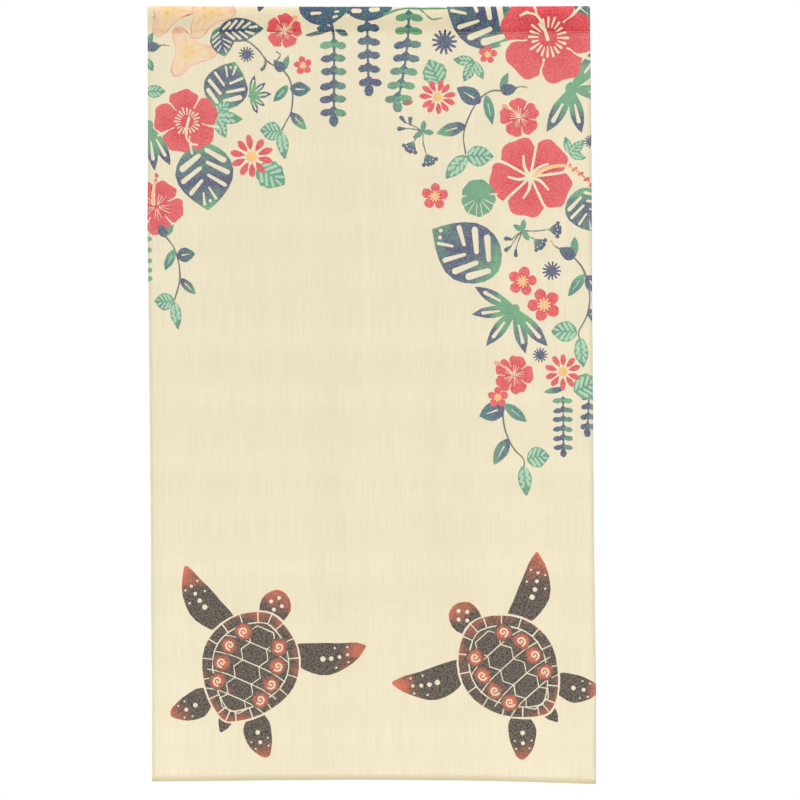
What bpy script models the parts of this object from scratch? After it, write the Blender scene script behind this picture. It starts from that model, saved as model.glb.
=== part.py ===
"""Noren door curtain: one hemmed length of cloth that hangs from a sewn rod pocket.

Metres, +Z up. X runs across the curtain, to the right as seen from the front, and the printed front faces -Y.
The origin is the middle of the top fold, the line on which a rod would carry the cloth. `down` is the distance
below that fold, and `across` is X.
"""

import math
from collections import namedtuple

import bmesh
import bpy
import numpy as np

MM = 0.001

# Driving sizes
LENGTH = 1482 * MM  # top fold to the highest point of the bottom hem
CLOTH = 1.2 * MM  # the single cloth, drawn thicker than the real 0.4 mm
SEWING_GAP = 0.3 * MM  # between the pocket's foot and the panel

POCKET_HEIGHT = 52 * MM  # top fold to the foot of the sewn seam
SEAM_BAND = 4 * MM  # where the two layers are stitched flat together
POCKET_GAP = 10 * MM  # how far the empty pocket stands open at its widest
POCKET_GAP_SWING = 1.0 * MM  # the opening is a little uneven along the width
POCKET_GAP_WAVES, POCKET_GAP_TURN = 1.15, 0.8  # waves of it in half the width, and radians at the middle
POCKET_ROUNDING, POCKET_TAPER = 0.5, 1.3  # exponents: round at the top fold, a cusp at the seam
POCKET_STEPS = 11  # points down each side of the hollow

SIDE_HEM = 5.5 * MM
BOTTOM_HEM = 11 * MM
HEM_THICKNESS = 2.2 * MM
HEM_STEP = 1.2 * MM  # width of the slope from hem to single cloth

HEM_APEX = -45 * MM  # the bottom edge arches up to this place, left of the middle
HEM_DROOP = 6.8 * MM  # how far the right corner hangs below the arch's top
TOP_SAG = 1.2 * MM  # the top fold's middle hangs this far below its ends
HALF_WIDTH = 425 * MM

# The side edges, which lean a little to the right on the way down
EdgeRow = namedtuple("EdgeRow", "down left right")
EDGES = [
    EdgeRow(0 * MM, -423.9 * MM, 423.7 * MM),
    EdgeRow(120 * MM, -423.3 * MM, 425.4 * MM),
    EdgeRow(275 * MM, -423.0 * MM, 426.8 * MM),
    EdgeRow(410 * MM, -424.1 * MM, 427.6 * MM),
    EdgeRow(505 * MM, -423.0 * MM, 427.8 * MM),
    EdgeRow(620 * MM, -421.4 * MM, 428.4 * MM),
    EdgeRow(790 * MM, -419.9 * MM, 429.9 * MM),
    EdgeRow(1000 * MM, -418.0 * MM, 431.0 * MM),
    EdgeRow(1155 * MM, -417.6 * MM, 433.0 * MM),
    EdgeRow(1310 * MM, -416.1 * MM, 435.3 * MM),
    EdgeRow(1500 * MM, -416.1 * MM, 435.3 * MM),
]

# The pressed fold down the middle: it stands towards the front, and fades out soon on its left and late on its right
CreaseRow = namedtuple("CreaseRow", "down across height")
CENTRE_CREASE = [
    CreaseRow(0 * MM, -1 * MM, 0.2 * MM),
    CreaseRow(180 * MM, -0.8 * MM, 0.8 * MM),
    CreaseRow(350 * MM, -0.5 * MM, 1.05 * MM),
    CreaseRow(520 * MM, -0.2 * MM, 1.15 * MM),
    CreaseRow(755 * MM, 0.6 * MM, 1.0 * MM),
    CreaseRow(955 * MM, 2.2 * MM, 0.7 * MM),
    CreaseRow(1205 * MM, 3.2 * MM, 0.45 * MM),
    CreaseRow(1390 * MM, 6 * MM, 0.35 * MM),
    CreaseRow(1500 * MM, 8 * MM, 0.3 * MM),
]
CENTRE_LEFT, CENTRE_RIGHT = 22 * MM, 100 * MM  # how wide its two flanks are

# The two lighter pressed folds at its sides: each is a flat pleat line that fades out to both sides
SideCrease = namedtuple("SideCrease", "across height before after")
SIDE_CREASES = [
    SideCrease(-116 * MM, 2.1 * MM, 250 * MM, 100 * MM),
    SideCrease(116 * MM, 1.1 * MM, 110 * MM, 50 * MM),
]
SIDE_CREASES_FROM = 200 * MM  # they grow from the pocket to here

# The folds across the cloth, from when it lay packed: each stands forward at `down`, steep above and long below
FoldRow = namedtuple("FoldRow", "down height above below")
CROSS_FOLDS = [
    FoldRow(205 * MM, 0.6 * MM, 28 * MM, 62 * MM),
    FoldRow(298 * MM, 0.8 * MM, 28 * MM, 80 * MM),
    FoldRow(424 * MM, 1.1 * MM, 30 * MM, 62 * MM),
    FoldRow(528 * MM, 0.9 * MM, 30 * MM, 84 * MM),
    FoldRow(651 * MM, 1.8 * MM, 32 * MM, 76 * MM),
    FoldRow(763 * MM, 1.5 * MM, 30 * MM, 84 * MM),
    FoldRow(892 * MM, 1.4 * MM, 30 * MM, 52 * MM),
    FoldRow(962 * MM, 0.9 * MM, 28 * MM, 84 * MM),
    FoldRow(1090 * MM, 1.9 * MM, 34 * MM, 82 * MM),
    FoldRow(1211 * MM, 1.2 * MM, 30 * MM, 76 * MM),
    FoldRow(1326 * MM, 1.3 * MM, 32 * MM, 50 * MM),
    FoldRow(1409 * MM, 0.9 * MM, 28 * MM, 56 * MM),
]
FOLD_SWING = 0.2  # share by which a fold's height changes across the cloth
FOLD_SWING_LENGTH = 690 * MM
FOLD_SWING_TURN = 1.9  # radians of phase from one fold to the next

# The soft upright waves in which the cloth hangs, growing towards its foot; depth below 0 stands to the front
WaveRow = namedtuple("WaveRow", "across width depth")
WAVES = [
    WaveRow(-435 * MM, 75 * MM, 8.0 * MM),
    WaveRow(-250 * MM, 70 * MM, -1.2 * MM),
    WaveRow(20 * MM, 80 * MM, 1.0 * MM),
    WaveRow(230 * MM, 70 * MM, 1.2 * MM),
    WaveRow(430 * MM, 150 * MM, -7.0 * MM),
]
WAVE_TOP_SHARE = 0.12  # share of each wave's depth that is left at the pocket

# Stations of the meshes
FREE_COLUMNS = 21  # evenly spaced columns, besides those at the hems and the centre crease
FREE_ROWS = 8  # evenly spaced rows, besides those at the folds and the hem
COLUMN_CLEARANCE = 22 * MM  # a free column this close to the crease is left out
ROW_CLEARANCE = 20 * MM  # a free row this close to a fold's row is left out
POCKET_STATIONS = 22
SAME_POINT = 0.001 * MM  # points of the pocket's section closer than this are one
SHARP_ANGLE = math.radians(50)  # faces that meet at more than this are shaded with an edge

# Looks, as linear colours
NATURAL_CLOTH = (0.84, 0.77, 0.58)
NATURAL_CLOTH_DOUBLED = (0.78, 0.70, 0.50)
MATT = 0.9


def column(table, name):
    return np.array([getattr(row, name) for row in table])


def read_table(table, name, down):
    """The named column of a table at this distance down, on straight lines between its rows."""
    return float(np.interp(down, column(table, "down"), column(table, name)))


def ease(share):
    """0 to 1 with level ends, for a share along the way."""
    share = min(max(share, 0.0), 1.0)
    return share * share * (3 - 2 * share)


def across_at(side, down):
    """X of a place given as -1 at the left edge, 0 at the middle and 1 at the right edge."""
    left = read_table(EDGES, "left", down)
    right = read_table(EDGES, "right", down)
    return left + (right - left) * (side + 1) / 2


def top_lift(across):
    return TOP_SAG * (across / HALF_WIDTH) ** 2


def bottom_droop(across):
    return HEM_DROOP * ((across - HEM_APEX) / (HALF_WIDTH - HEM_APEX)) ** 2


def pleat(off, before, after):
    """A pressed fold of height 1: a sharp line at 0 that fades out over `before` ahead of it and `after` behind it."""
    share = 1 + off / before if off < 0 else 1 - off / after
    return max(share, 0.0) ** 2


def ridge(off, before, after):
    """A soft ridge of height 1 at 0 that starts `before` ahead of it and ends `after` behind it."""
    return ease(1 + off / before) if off < 0 else ease(1 - off / after)


def centre_crease(across, down):
    middle = across_at(0, down) + read_table(CENTRE_CREASE, "across", down)
    return read_table(CENTRE_CREASE, "height", down) * pleat(across - middle, CENTRE_LEFT, CENTRE_RIGHT)


def side_creases(across, down):
    total = 0.0
    for crease in SIDE_CREASES:
        total += crease.height * pleat(across - crease.across, crease.before, crease.after)
    return total * ease(down / SIDE_CREASES_FROM)


def cross_folds(across, down):
    total = 0.0
    for number, fold in enumerate(CROSS_FOLDS):
        phase = 2 * math.pi * across / FOLD_SWING_LENGTH + FOLD_SWING_TURN * number
        height = fold.height * (1 + FOLD_SWING * math.sin(phase))
        total += height * ridge(down - fold.down, fold.above, fold.below)
    return total


def waves(across, down):
    grown = WAVE_TOP_SHARE + (1 - WAVE_TOP_SHARE) * ease(down / LENGTH)
    return grown * sum(row.depth * math.exp(-(((across - row.across) / row.width) ** 2)) for row in WAVES)


def drape(across, down):
    """How far back from its hanging plane the cloth lies here."""
    creases = centre_crease(across, down) + side_creases(across, down) + cross_folds(across, down)
    return waves(across, down) - creases


def material(name, colour, roughness):
    made = bpy.data.materials.new(name)
    made.use_nodes = True
    shader = made.node_tree.nodes["Principled BSDF"]
    shader.inputs["Base Color"].default_value = (*colour, 1)
    shader.inputs["Roughness"].default_value = roughness
    shader.inputs["Metallic"].default_value = 0
    made.diffuse_color = (*colour, 1)
    return made


def add_object(name, mesh, collection, finish):
    made = bpy.data.objects.new(name, mesh)
    collection.objects.link(made)
    mesh.materials.clear()
    mesh.materials.append(finish)
    return made


def panel_columns():
    """Places across the panel as (side, offset): side from -1 to 1 between the edges, and metres added to it."""
    hem_lines = (0.0, SIDE_HEM, SIDE_HEM + HEM_STEP)
    crease_lines = (-CENTRE_LEFT, -CENTRE_LEFT / 2, 0.0)
    left = [(-1.0, offset) for offset in hem_lines]
    right = [(1.0, -offset) for offset in reversed(hem_lines)]
    middle = [(0.0, offset) for offset in crease_lines]
    free = [(side, 0.0) for side in np.linspace(-1, 1, FREE_COLUMNS + 2)[1:-1]]
    free = [place for place in free if abs(place[0]) * HALF_WIDTH > COLUMN_CLEARANCE]
    return left + sorted(free + middle, key=lambda place: place[0] * HALF_WIDTH + place[1]) + right


def panel_rows():
    """Distances down the panel at its middle, as (down, rises from the hem): a row by the hem keeps its arch."""
    top = POCKET_HEIGHT + SEWING_GAP
    rows = {top}
    for fold in CROSS_FOLDS:
        rows |= {fold.down - fold.above, fold.down, fold.down + fold.below / 2}
    last = LENGTH - BOTTOM_HEM - HEM_STEP
    rows |= {LENGTH, LENGTH - BOTTOM_HEM, last}
    for down in np.linspace(top, last, FREE_ROWS + 2)[1:-1]:
        if min(abs(down - row) for row in rows) > ROW_CLEARANCE:
            rows.add(float(down))
    return sorted(rows)


def build_panel(collection, finish):
    """The hanging cloth: a grid laid on its folds, given thickness, and thicker where it is hemmed."""
    columns, rows = panel_columns(), panel_rows()
    grid = bmesh.new()
    bmesh.ops.create_grid(grid, x_segments=len(columns) - 1, y_segments=len(rows) - 1, size=1)
    hem_layer = grid.verts.layers.deform.new()
    hem_group = 0  # the panel's only group of points, which says where the cloth is hemmed
    for vert in grid.verts:
        i = round((vert.co.x + 1) / 2 * (len(columns) - 1))
        j = round((1 - vert.co.y) / 2 * (len(rows) - 1))
        side, offset = columns[i]
        down = rows[j]
        share = (down - rows[0]) / (LENGTH - rows[0])
        from_centre = side * HALF_WIDTH + offset
        low = down + share ** 3 * bottom_droop(from_centre)
        crease = read_table(CENTRE_CREASE, "across", low) if side == 0.0 else 0.0
        across = across_at(side, low) + offset + crease
        height = -low + (1 - share) * top_lift(across)
        vert.co = (across, drape(across, low) - CLOTH, height)
        hemmed = i <= 1 or i >= len(columns) - 2 or j >= len(rows) - 2
        vert[hem_layer][hem_group] = 1.0 if hemmed else 0.0
    bmesh.ops.recalc_face_normals(grid, faces=grid.faces)
    if grid.faces[0].normal.y > 0:
        bmesh.ops.reverse_faces(grid, faces=grid.faces)
    mesh = bpy.data.meshes.new("curtain_panel")
    grid.to_mesh(mesh)
    grid.free()
    mesh.shade_smooth()
    panel = add_object("curtain_panel", mesh, collection, finish)
    panel.vertex_groups.new(name="hem")
    thicken = panel.modifiers.new("cloth thickness", "SOLIDIFY")
    thicken.thickness = HEM_THICKNESS
    thicken.offset = -1
    thicken.vertex_group = "hem"
    thicken.thickness_vertex_group = CLOTH / HEM_THICKNESS
    return panel


def pocket_half_gap(share):
    """Half the clear depth of the pocket, for a share of the way from its top fold to its seam."""
    rounding, taper = POCKET_ROUNDING, POCKET_TAPER
    widest = rounding / (rounding + taper)
    peak = widest**rounding * (1 - widest) ** taper
    return POCKET_GAP / 2 * share**rounding * (1 - share) ** taper / peak


def pocket_outlines():
    """The pocket's section as (y, z) points: its outer outline, then the hollow."""
    hollow_top, hollow_foot = CLOTH, POCKET_HEIGHT - SEAM_BAND
    # closer points near the top fold, where the section is round
    shares = [(k / POCKET_STEPS) ** 2 for k in range(1, POCKET_STEPS)]
    side = [(pocket_half_gap(s), -(hollow_top + s * (hollow_foot - hollow_top))) for s in shares]
    hollow = [(0.0, -hollow_top)] + side + [(0.0, -hollow_foot)] + [(-y, z) for y, z in reversed(side)]
    outer_side = []
    ends = [(0.0, -hollow_top), *side, (0.0, -hollow_foot)]
    for before, here, after in zip(ends, ends[1:], ends[2:]):
        run_y, run_z = after[0] - before[0], after[1] - before[1]
        length = math.hypot(run_y, run_z)
        outer_side.append((here[0] - run_z / length * CLOTH, here[1] + run_y / length * CLOTH))
    foot = [(CLOTH, -hollow_foot), (CLOTH, -POCKET_HEIGHT)]
    half = outer_side + foot
    outer = [(0.0, 0.0)] + half + [(-y, z) for y, z in reversed(half)]
    return outer, hollow


def build_pocket(collection, finish):
    """The sewn tunnel: its section drawn as a filled curve with a hole, run along the width and laid on the drape."""
    curve = bpy.data.curves.new("pocket_section", "CURVE")
    curve.dimensions = "2D"
    curve.fill_mode = "BOTH"
    curve.extrude = HALF_WIDTH
    for outline in pocket_outlines():
        spline = curve.splines.new("POLY")
        spline.points.add(len(outline) - 1)
        spline.use_cyclic_u = True
        for point, (y, z) in zip(spline.points, outline):
            point.co = (y, z, 0, 1)
    drawn = bpy.data.objects.new("pocket_section", curve)
    collection.objects.link(drawn)
    bpy.context.view_layer.update()
    mesh = bpy.data.meshes.new_from_object(drawn.evaluated_get(bpy.context.evaluated_depsgraph_get()))
    bpy.data.objects.remove(drawn)

    tube = bmesh.new()
    tube.from_mesh(mesh)
    bmesh.ops.remove_doubles(tube, verts=tube.verts, dist=SAME_POINT)
    for vert in tube.verts:  # the section was drawn flat and extruded along its own Z
        y, z, x = vert.co
        vert.co = (x, y, z)
    for station in np.linspace(-HALF_WIDTH, HALF_WIDTH, POCKET_STATIONS + 1)[1:-1]:
        everything = tube.verts[:] + tube.edges[:] + tube.faces[:]
        bmesh.ops.bisect_plane(tube, geom=everything, plane_co=(station, 0, 0), plane_no=(1, 0, 0))
    for vert in tube.verts:
        down = -vert.co.z
        across = across_at(vert.co.x / HALF_WIDTH, down)
        gap_phase = 2 * math.pi * POCKET_GAP_WAVES * across / HALF_WIDTH + POCKET_GAP_TURN
        open_more = POCKET_GAP_SWING / 2 * math.sin(gap_phase)
        open_share = math.sin(math.pi * min(max(down / (POCKET_HEIGHT - SEAM_BAND), 0), 1))
        spread = math.copysign(open_more * open_share, vert.co.y) if abs(vert.co.y) > CLOTH / 2 else 0.0
        vert.co = (across, vert.co.y + spread + drape(across, down), vert.co.z + top_lift(across))
    bmesh.ops.recalc_face_normals(tube, faces=tube.faces)
    tube.to_mesh(mesh)
    tube.free()
    mesh.name = "rod_pocket"
    mesh.shade_smooth()
    mesh.set_sharp_from_angle(angle=SHARP_ANGLE)
    return add_object("rod_pocket", mesh, collection, finish)


def main():
    for old in list(bpy.data.objects):
        bpy.data.objects.remove(old)
    curtain = bpy.data.collections.new("noren curtain")
    bpy.context.scene.collection.children.link(curtain)
    build_pocket(curtain, material("natural cloth, doubled", NATURAL_CLOTH_DOUBLED, MATT))
    build_panel(curtain, material("natural cloth", NATURAL_CLOTH, MATT))


main()
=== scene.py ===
"""Noren door curtain: one length of thin slub cloth, hand printed, hemmed, with a rod pocket sewn at its top.

Metres, +Z up. X runs across the curtain, to the right as seen from the front, and the printed front faces
-Y. The origin is the middle of the top fold. `down` is the distance below that fold. The cloth is cut,
printed and hemmed flat, and then laid on the same folds as the solids it replaces.
"""

import math
import random
from collections import namedtuple

import bmesh
import bpy
import numpy as np
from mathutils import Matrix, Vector
from mathutils.geometry import delaunay_2d_cdt


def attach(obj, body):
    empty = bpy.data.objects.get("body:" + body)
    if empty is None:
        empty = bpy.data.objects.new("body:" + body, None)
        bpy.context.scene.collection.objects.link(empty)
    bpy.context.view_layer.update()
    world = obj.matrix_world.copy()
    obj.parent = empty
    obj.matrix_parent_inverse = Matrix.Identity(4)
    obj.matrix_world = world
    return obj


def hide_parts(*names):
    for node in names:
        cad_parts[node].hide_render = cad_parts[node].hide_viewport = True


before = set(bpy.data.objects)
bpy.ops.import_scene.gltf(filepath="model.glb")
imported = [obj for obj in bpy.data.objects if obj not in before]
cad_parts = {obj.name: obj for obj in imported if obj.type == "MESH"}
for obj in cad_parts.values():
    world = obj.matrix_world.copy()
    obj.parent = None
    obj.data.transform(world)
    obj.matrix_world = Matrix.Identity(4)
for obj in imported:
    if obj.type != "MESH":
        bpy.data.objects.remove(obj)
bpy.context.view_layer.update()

MM = 0.001


def table_in_mm(kind, *rows):
    """A table of rows of one kind, whose values are given in millimetres."""
    return [kind(*(value * MM for value in row)) for row in rows]


def linear(hex_colour):
    """An sRGB hex colour as linear red, green and blue, with a full alpha."""
    values = [int(hex_colour[place:place + 2], 16) / 255 for place in (1, 3, 5)]
    return *(v / 12.92 if v <= 0.04045 else ((v + 0.055) / 1.055) ** 2.4 for v in values), 1.0


def add_object(name, data):
    """A new object in the scene, with this data."""
    made = bpy.data.objects.new(name, data)
    bpy.context.scene.collection.objects.link(made)
    return made


# ---------------------------------------------------------------- sizes shared with the solids
LENGTH = 1482 * MM  # top fold to the highest point of the bottom hem
HALF_WIDTH = 425 * MM
FRONT = 1.2 * MM  # how far the front face stands before the hanging plane
POCKET_HEIGHT = 52 * MM
SEAM_BAND = 4 * MM  # where the pocket's two walls are stitched flat together
SEWING_GAP = 0.3 * MM
POCKET_GAP = 10 * MM  # how far the empty pocket stands open at its widest
POCKET_GAP_SWING = 1.0 * MM  # the opening is a little uneven along the width
POCKET_GAP_WAVES, POCKET_GAP_TURN = 1.15, 0.8  # waves of it in half the width, and radians at the middle
POCKET_ROUNDING, POCKET_TAPER = 0.5, 1.3  # exponents: round at the top fold, a cusp at the seam
SIDE_HEM = 5.5 * MM
BOTTOM_HEM = 11 * MM
HEM_APEX = -45 * MM  # the bottom edge arches up to this place
HEM_DROOP = 6.8 * MM  # how far the right corner hangs below the arch's top
TOP_SAG = 1.2 * MM  # the top fold's middle hangs this far below its ends

# The side edges, which lean a little to the right on the way down
EDGES = table_in_mm(
    namedtuple("EdgeRow", "down left right"),
    (0, -423.9, 423.7),
    (120, -423.3, 425.4),
    (275, -423.0, 426.8),
    (410, -424.1, 427.6),
    (505, -423.0, 427.8),
    (620, -421.4, 428.4),
    (790, -419.9, 429.9),
    (1000, -418.0, 431.0),
    (1155, -417.6, 433.0),
    (1310, -416.1, 435.3),
    (1500, -416.1, 435.3),
)

# The pressed fold down the middle: it stands towards the front, and fades out soon on its left and late on
# its right
CENTRE_CREASE = table_in_mm(
    namedtuple("CreaseRow", "down across height"),
    (0, -1, 0.2),
    (180, -0.8, 0.8),
    (350, -0.5, 1.05),
    (520, -0.2, 1.15),
    (755, 0.6, 1.0),
    (955, 2.2, 0.7),
    (1205, 3.2, 0.45),
    (1390, 6, 0.35),
    (1500, 8, 0.3),
)
CENTRE_LEFT, CENTRE_RIGHT = 22 * MM, 100 * MM

# The two lighter pressed folds at its sides: each is a flat pleat line that fades out to both sides
SIDE_CREASES = table_in_mm(
    namedtuple("SideCrease", "across height before after"),
    (-116, 2.1, 250, 100),
    (116, 1.1, 110, 50),
)
SIDE_CREASES_FROM = 200 * MM  # they grow from the pocket to here

# The folds across the cloth, from when it lay packed: each is steep above and long below
CROSS_FOLDS = table_in_mm(
    namedtuple("FoldRow", "down height above below"),
    (205, 0.6, 28, 62),
    (298, 0.8, 28, 80),
    (424, 1.1, 30, 62),
    (528, 0.9, 30, 84),
    (651, 1.8, 32, 76),
    (763, 1.5, 30, 84),
    (892, 1.4, 30, 52),
    (962, 0.9, 28, 84),
    (1090, 1.9, 34, 82),
    (1211, 1.2, 30, 76),
    (1326, 1.3, 32, 50),
    (1409, 0.9, 28, 56),
)
FOLD_SWING = 0.2  # share by which a fold's height changes across the cloth
FOLD_SWING_LENGTH = 690 * MM
FOLD_SWING_TURN = 1.9  # radians from one fold's swing to the next

# The soft upright waves in which the cloth hangs; a depth below 0 stands to the front
WAVES = table_in_mm(
    namedtuple("WaveRow", "across width depth"),
    (-435, 75, 8.0),
    (-250, 70, -1.2),
    (20, 80, 1.0),
    (230, 70, 1.2),
    (430, 150, -7.0),
)
WAVE_TOP_SHARE = 0.12  # share of their depth that the waves have at the top fold

# ---------------------------------------------------------------- sizes of the cut cloth
SHEET = 0.4 * MM  # the cloth's own thickness
LAYER = 0.6 * MM  # from one layer to the next where it's turned
POCKET_TUCK = 8 * MM  # the raw edges are turned under by this much
BOTTOM_TUCK = 8 * MM
SIDE_TUCK = 3.6 * MM
OUTER_TURN = math.pi * LAYER  # lengths of cloth in the two turns of a double hem
INNER_TURN = math.pi * LAYER / 2
SIDE_RUN = SIDE_HEM - 1.5 * LAYER  # the flat of the hem between its turns
BOTTOM_RUN = BOTTOM_HEM - 1.5 * LAYER
CORNER_EASE = 9 * MM  # over which the hems' layers spread apart towards the side hems
POCKET_FLAT_FROM = 30 * MM  # from here down the pocket's back wall draws in to the seam

CUT_TOP = -(POCKET_HEIGHT + INNER_TURN + POCKET_TUCK)

# The stitched lines, as distances in from the pocket's foot and from the edges
POCKET_STITCHES = 2.2 * MM
SIDE_STITCHES = 4.2 * MM
BOTTOM_STITCHES = 9.4 * MM
PUCKER_DEPTH = 0.12 * MM
PUCKER_PITCH = 15 * MM
PUCKER_REACH = 7 * MM
PUCKER_WANDER = 1.7  # radians by which they wander off their even pitch
PUCKER_WANDER_LENGTH = 41 * MM  # along the line, for each radian of that wander


def column(table, name):
    return np.array([getattr(row, name) for row in table])


def read_table(table, name, down):
    """The named column of a table at these distances down, on straight lines between its rows."""
    return np.interp(down, column(table, "down"), column(table, name))


def ease(share):
    """0 to 1 with level ends, for a share along the way."""
    share = np.clip(share, 0.0, 1.0)
    return share * share * (3 - 2 * share)


def across_at(side, down):
    """X of a place given as -1 at the left edge, 0 at the middle and 1 at the right edge."""
    left = read_table(EDGES, "left", down)
    right = read_table(EDGES, "right", down)
    return left + (right - left) * (side + 1) / 2


def top_lift(across):
    return TOP_SAG * (across / HALF_WIDTH) ** 2


def bottom_droop(across):
    return HEM_DROOP * ((across - HEM_APEX) / (HALF_WIDTH - HEM_APEX)) ** 2


def pleat(off, before, after):
    """A pressed fold of height 1: a sharp line at 0 that fades out over `before` and `after` at its sides."""
    share = np.where(off < 0, 1 + off / before, 1 - off / after)
    return np.maximum(share, 0) ** 2


def ridge(off, before, after):
    """A soft ridge of height 1 at 0 that starts `before` ahead of it and ends `after` behind it."""
    return np.where(off < 0, ease(1 + off / before), ease(1 - off / after))


def centre_crease(across, down):
    middle = across_at(0, down) + read_table(CENTRE_CREASE, "across", down)
    return read_table(CENTRE_CREASE, "height", down) * pleat(across - middle, CENTRE_LEFT, CENTRE_RIGHT)


def side_creases(across, down):
    total = 0.0
    for crease in SIDE_CREASES:
        total += crease.height * pleat(across - crease.across, crease.before, crease.after)
    return total * ease(down / SIDE_CREASES_FROM)


def cross_folds(across, down):
    total = 0.0
    for number, fold in enumerate(CROSS_FOLDS):
        phase = 2 * math.pi * across / FOLD_SWING_LENGTH + FOLD_SWING_TURN * number
        height = fold.height * (1 + FOLD_SWING * np.sin(phase))
        total += height * ridge(down - fold.down, fold.above, fold.below)
    return total


def waves(across, down):
    share = WAVE_TOP_SHARE + (1 - WAVE_TOP_SHARE) * ease(down / LENGTH)
    return share * sum(wave.depth * np.exp(-(((across - wave.across) / wave.width) ** 2)) for wave in WAVES)


def puckers(across, down):
    """The small drawn-in ripples along the stitched lines."""
    total = 0.0
    stitched_lines = [
        (down - (POCKET_HEIGHT - POCKET_STITCHES), across),
        (down - (LENGTH - BOTTOM_STITCHES), across),
        (np.abs(across) - (HALF_WIDTH - SIDE_STITCHES), down),
    ]
    for number, (off, along) in enumerate(stitched_lines):
        wander = PUCKER_WANDER * np.sin(along / PUCKER_WANDER_LENGTH)
        ripple = np.sin(2 * math.pi * along / PUCKER_PITCH + wander + number)
        total += PUCKER_DEPTH * ripple * np.exp(-((off / PUCKER_REACH) ** 2))
    return total


def drape(across, down):
    """How far back from its hanging plane the cloth lies here."""
    creases = centre_crease(across, down) + side_creases(across, down) + cross_folds(across, down)
    return waves(across, down) - creases + puckers(across, down)


# ---------------------------------------------------------------- turning and hanging the cut cloth
# A place on the cut cloth is (right, along): right of its middle, and along from the top fold, below 0 on the
# part that is turned to the back for the pocket.
PROBE = 0.02 * MM  # which way the cloth runs at a place is measured from so far before it to so far after it


def layers_at(across):
    """How many layers lie at this place before the hems across the cloth are turned: 3 in the side hems."""
    return 1 + 2 * ease((np.abs(across) - (HALF_WIDTH - SIDE_HEM - CORNER_EASE)) / CORNER_EASE)


def outer_radius(layers):
    return (3 * layers - 1) * LAYER / 2


def inner_radius(layers):
    return (2 * layers - 1) * LAYER / 2


def double_turn(past, run, layers):
    """A double hem, for a place `past` its first turn's start: how far on it lies, and how far behind."""
    first = np.clip(past / OUTER_TURN, 0, 1) * math.pi
    second = np.clip((past - OUTER_TURN - run) / INNER_TURN, 0, 1) * math.pi
    outer, inner = outer_radius(layers), inner_radius(layers)
    on = outer * np.sin(first) - np.clip(past - OUTER_TURN, 0, run) - inner * np.sin(second)
    on += np.clip(past - OUTER_TURN - run - INNER_TURN, 0, None)
    behind = outer * (1 - np.cos(first)) - inner * (1 - np.cos(second))
    return on, behind


def turn_side(right):
    """The side hems: where a place lies across the hemmed cloth, and how far behind its front layer."""
    start = HALF_WIDTH - LAYER
    past = np.abs(right) - start
    on, behind = double_turn(np.maximum(past, 0), SIDE_RUN, 1.0)
    return np.sign(right) * np.where(past > 0, start + on, np.abs(right)), np.where(past > 0, behind, 0.0)


def pocket_half_gap(down):
    """Half the clear depth of the pocket at this distance down."""
    share = np.clip(down / (POCKET_HEIGHT - SEAM_BAND), 0, 1)
    widest = POCKET_ROUNDING / (POCKET_ROUNDING + POCKET_TAPER)
    peak = widest**POCKET_ROUNDING * (1 - widest) ** POCKET_TAPER
    return POCKET_GAP / 2 * share**POCKET_ROUNDING * (1 - share) ** POCKET_TAPER / peak


def pocket_swing(across, down):
    """How much more or less than that the pocket stands open at this place along its width."""
    share = np.clip(down / (POCKET_HEIGHT - SEAM_BAND), 0, 1)
    phase = 2 * math.pi * POCKET_GAP_WAVES * across / HALF_WIDTH + POCKET_GAP_TURN
    return POCKET_GAP_SWING / 2 * np.sin(phase) * np.sin(math.pi * share)


def pocket_section(along, across, layers):
    """The pocket: its front wall, its back wall and the raw edge that is tucked between them at the seam."""
    down = np.abs(along)
    wall_half = FRONT - SHEET / 2
    rounding = np.sqrt(1 - (1 - np.clip(down / FRONT, 0, 1)) ** 2)
    gap = pocket_half_gap(down) + pocket_swing(across, down)
    front = wall_half - (wall_half + gap) * rounding
    seam_back = 2 * outer_radius(layers)
    drawn_in = ease((down - POCKET_FLAT_FROM) / (POCKET_HEIGHT - SEAM_BAND - POCKET_FLAT_FROM))
    back = wall_half + (wall_half + gap) * rounding + (seam_back - 2 * wall_half) * drawn_in
    turned = np.clip((down - POCKET_HEIGHT) / INNER_TURN, 0, 1) * math.pi
    inner = inner_radius(layers)
    tuck_down = POCKET_HEIGHT + inner * np.sin(turned) - np.clip(down - POCKET_HEIGHT - INNER_TURN, 0, None)
    tuck_depth = back - inner * (1 - np.cos(turned))
    wall_down = down + SHEET / 2 * (1 - ease(down / FRONT))
    on_back = along < 0
    tucked = on_back & (down > POCKET_HEIGHT)
    depth = np.where(tucked, tuck_depth, np.where(on_back, back, front))
    return depth, np.where(tucked, tuck_down, wall_down)


def panel_section(along, layers):
    """The panel and its bottom hem."""
    start = LENGTH - LAYER
    on, behind = double_turn(np.maximum(along - start, 0), BOTTOM_RUN, layers)
    drawn_up = (outer_radius(layers) - LAYER) * ease((along - start + CORNER_EASE) / CORNER_EASE)
    past = along > start
    return np.where(past, behind, 0.0), np.where(past, start + on, along) - drawn_up


def section(along, across, layers):
    """How far behind its front layer and how far down a place lies, for its distance along the cut."""
    in_pocket = along < POCKET_HEIGHT
    pocket_depth, pocket_down = pocket_section(np.minimum(along, POCKET_HEIGHT), across, layers)
    panel_depth, panel_down = panel_section(np.maximum(along, POCKET_HEIGHT), layers)
    return np.where(in_pocket, pocket_depth, panel_depth), np.where(in_pocket, pocket_down, panel_down)


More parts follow.
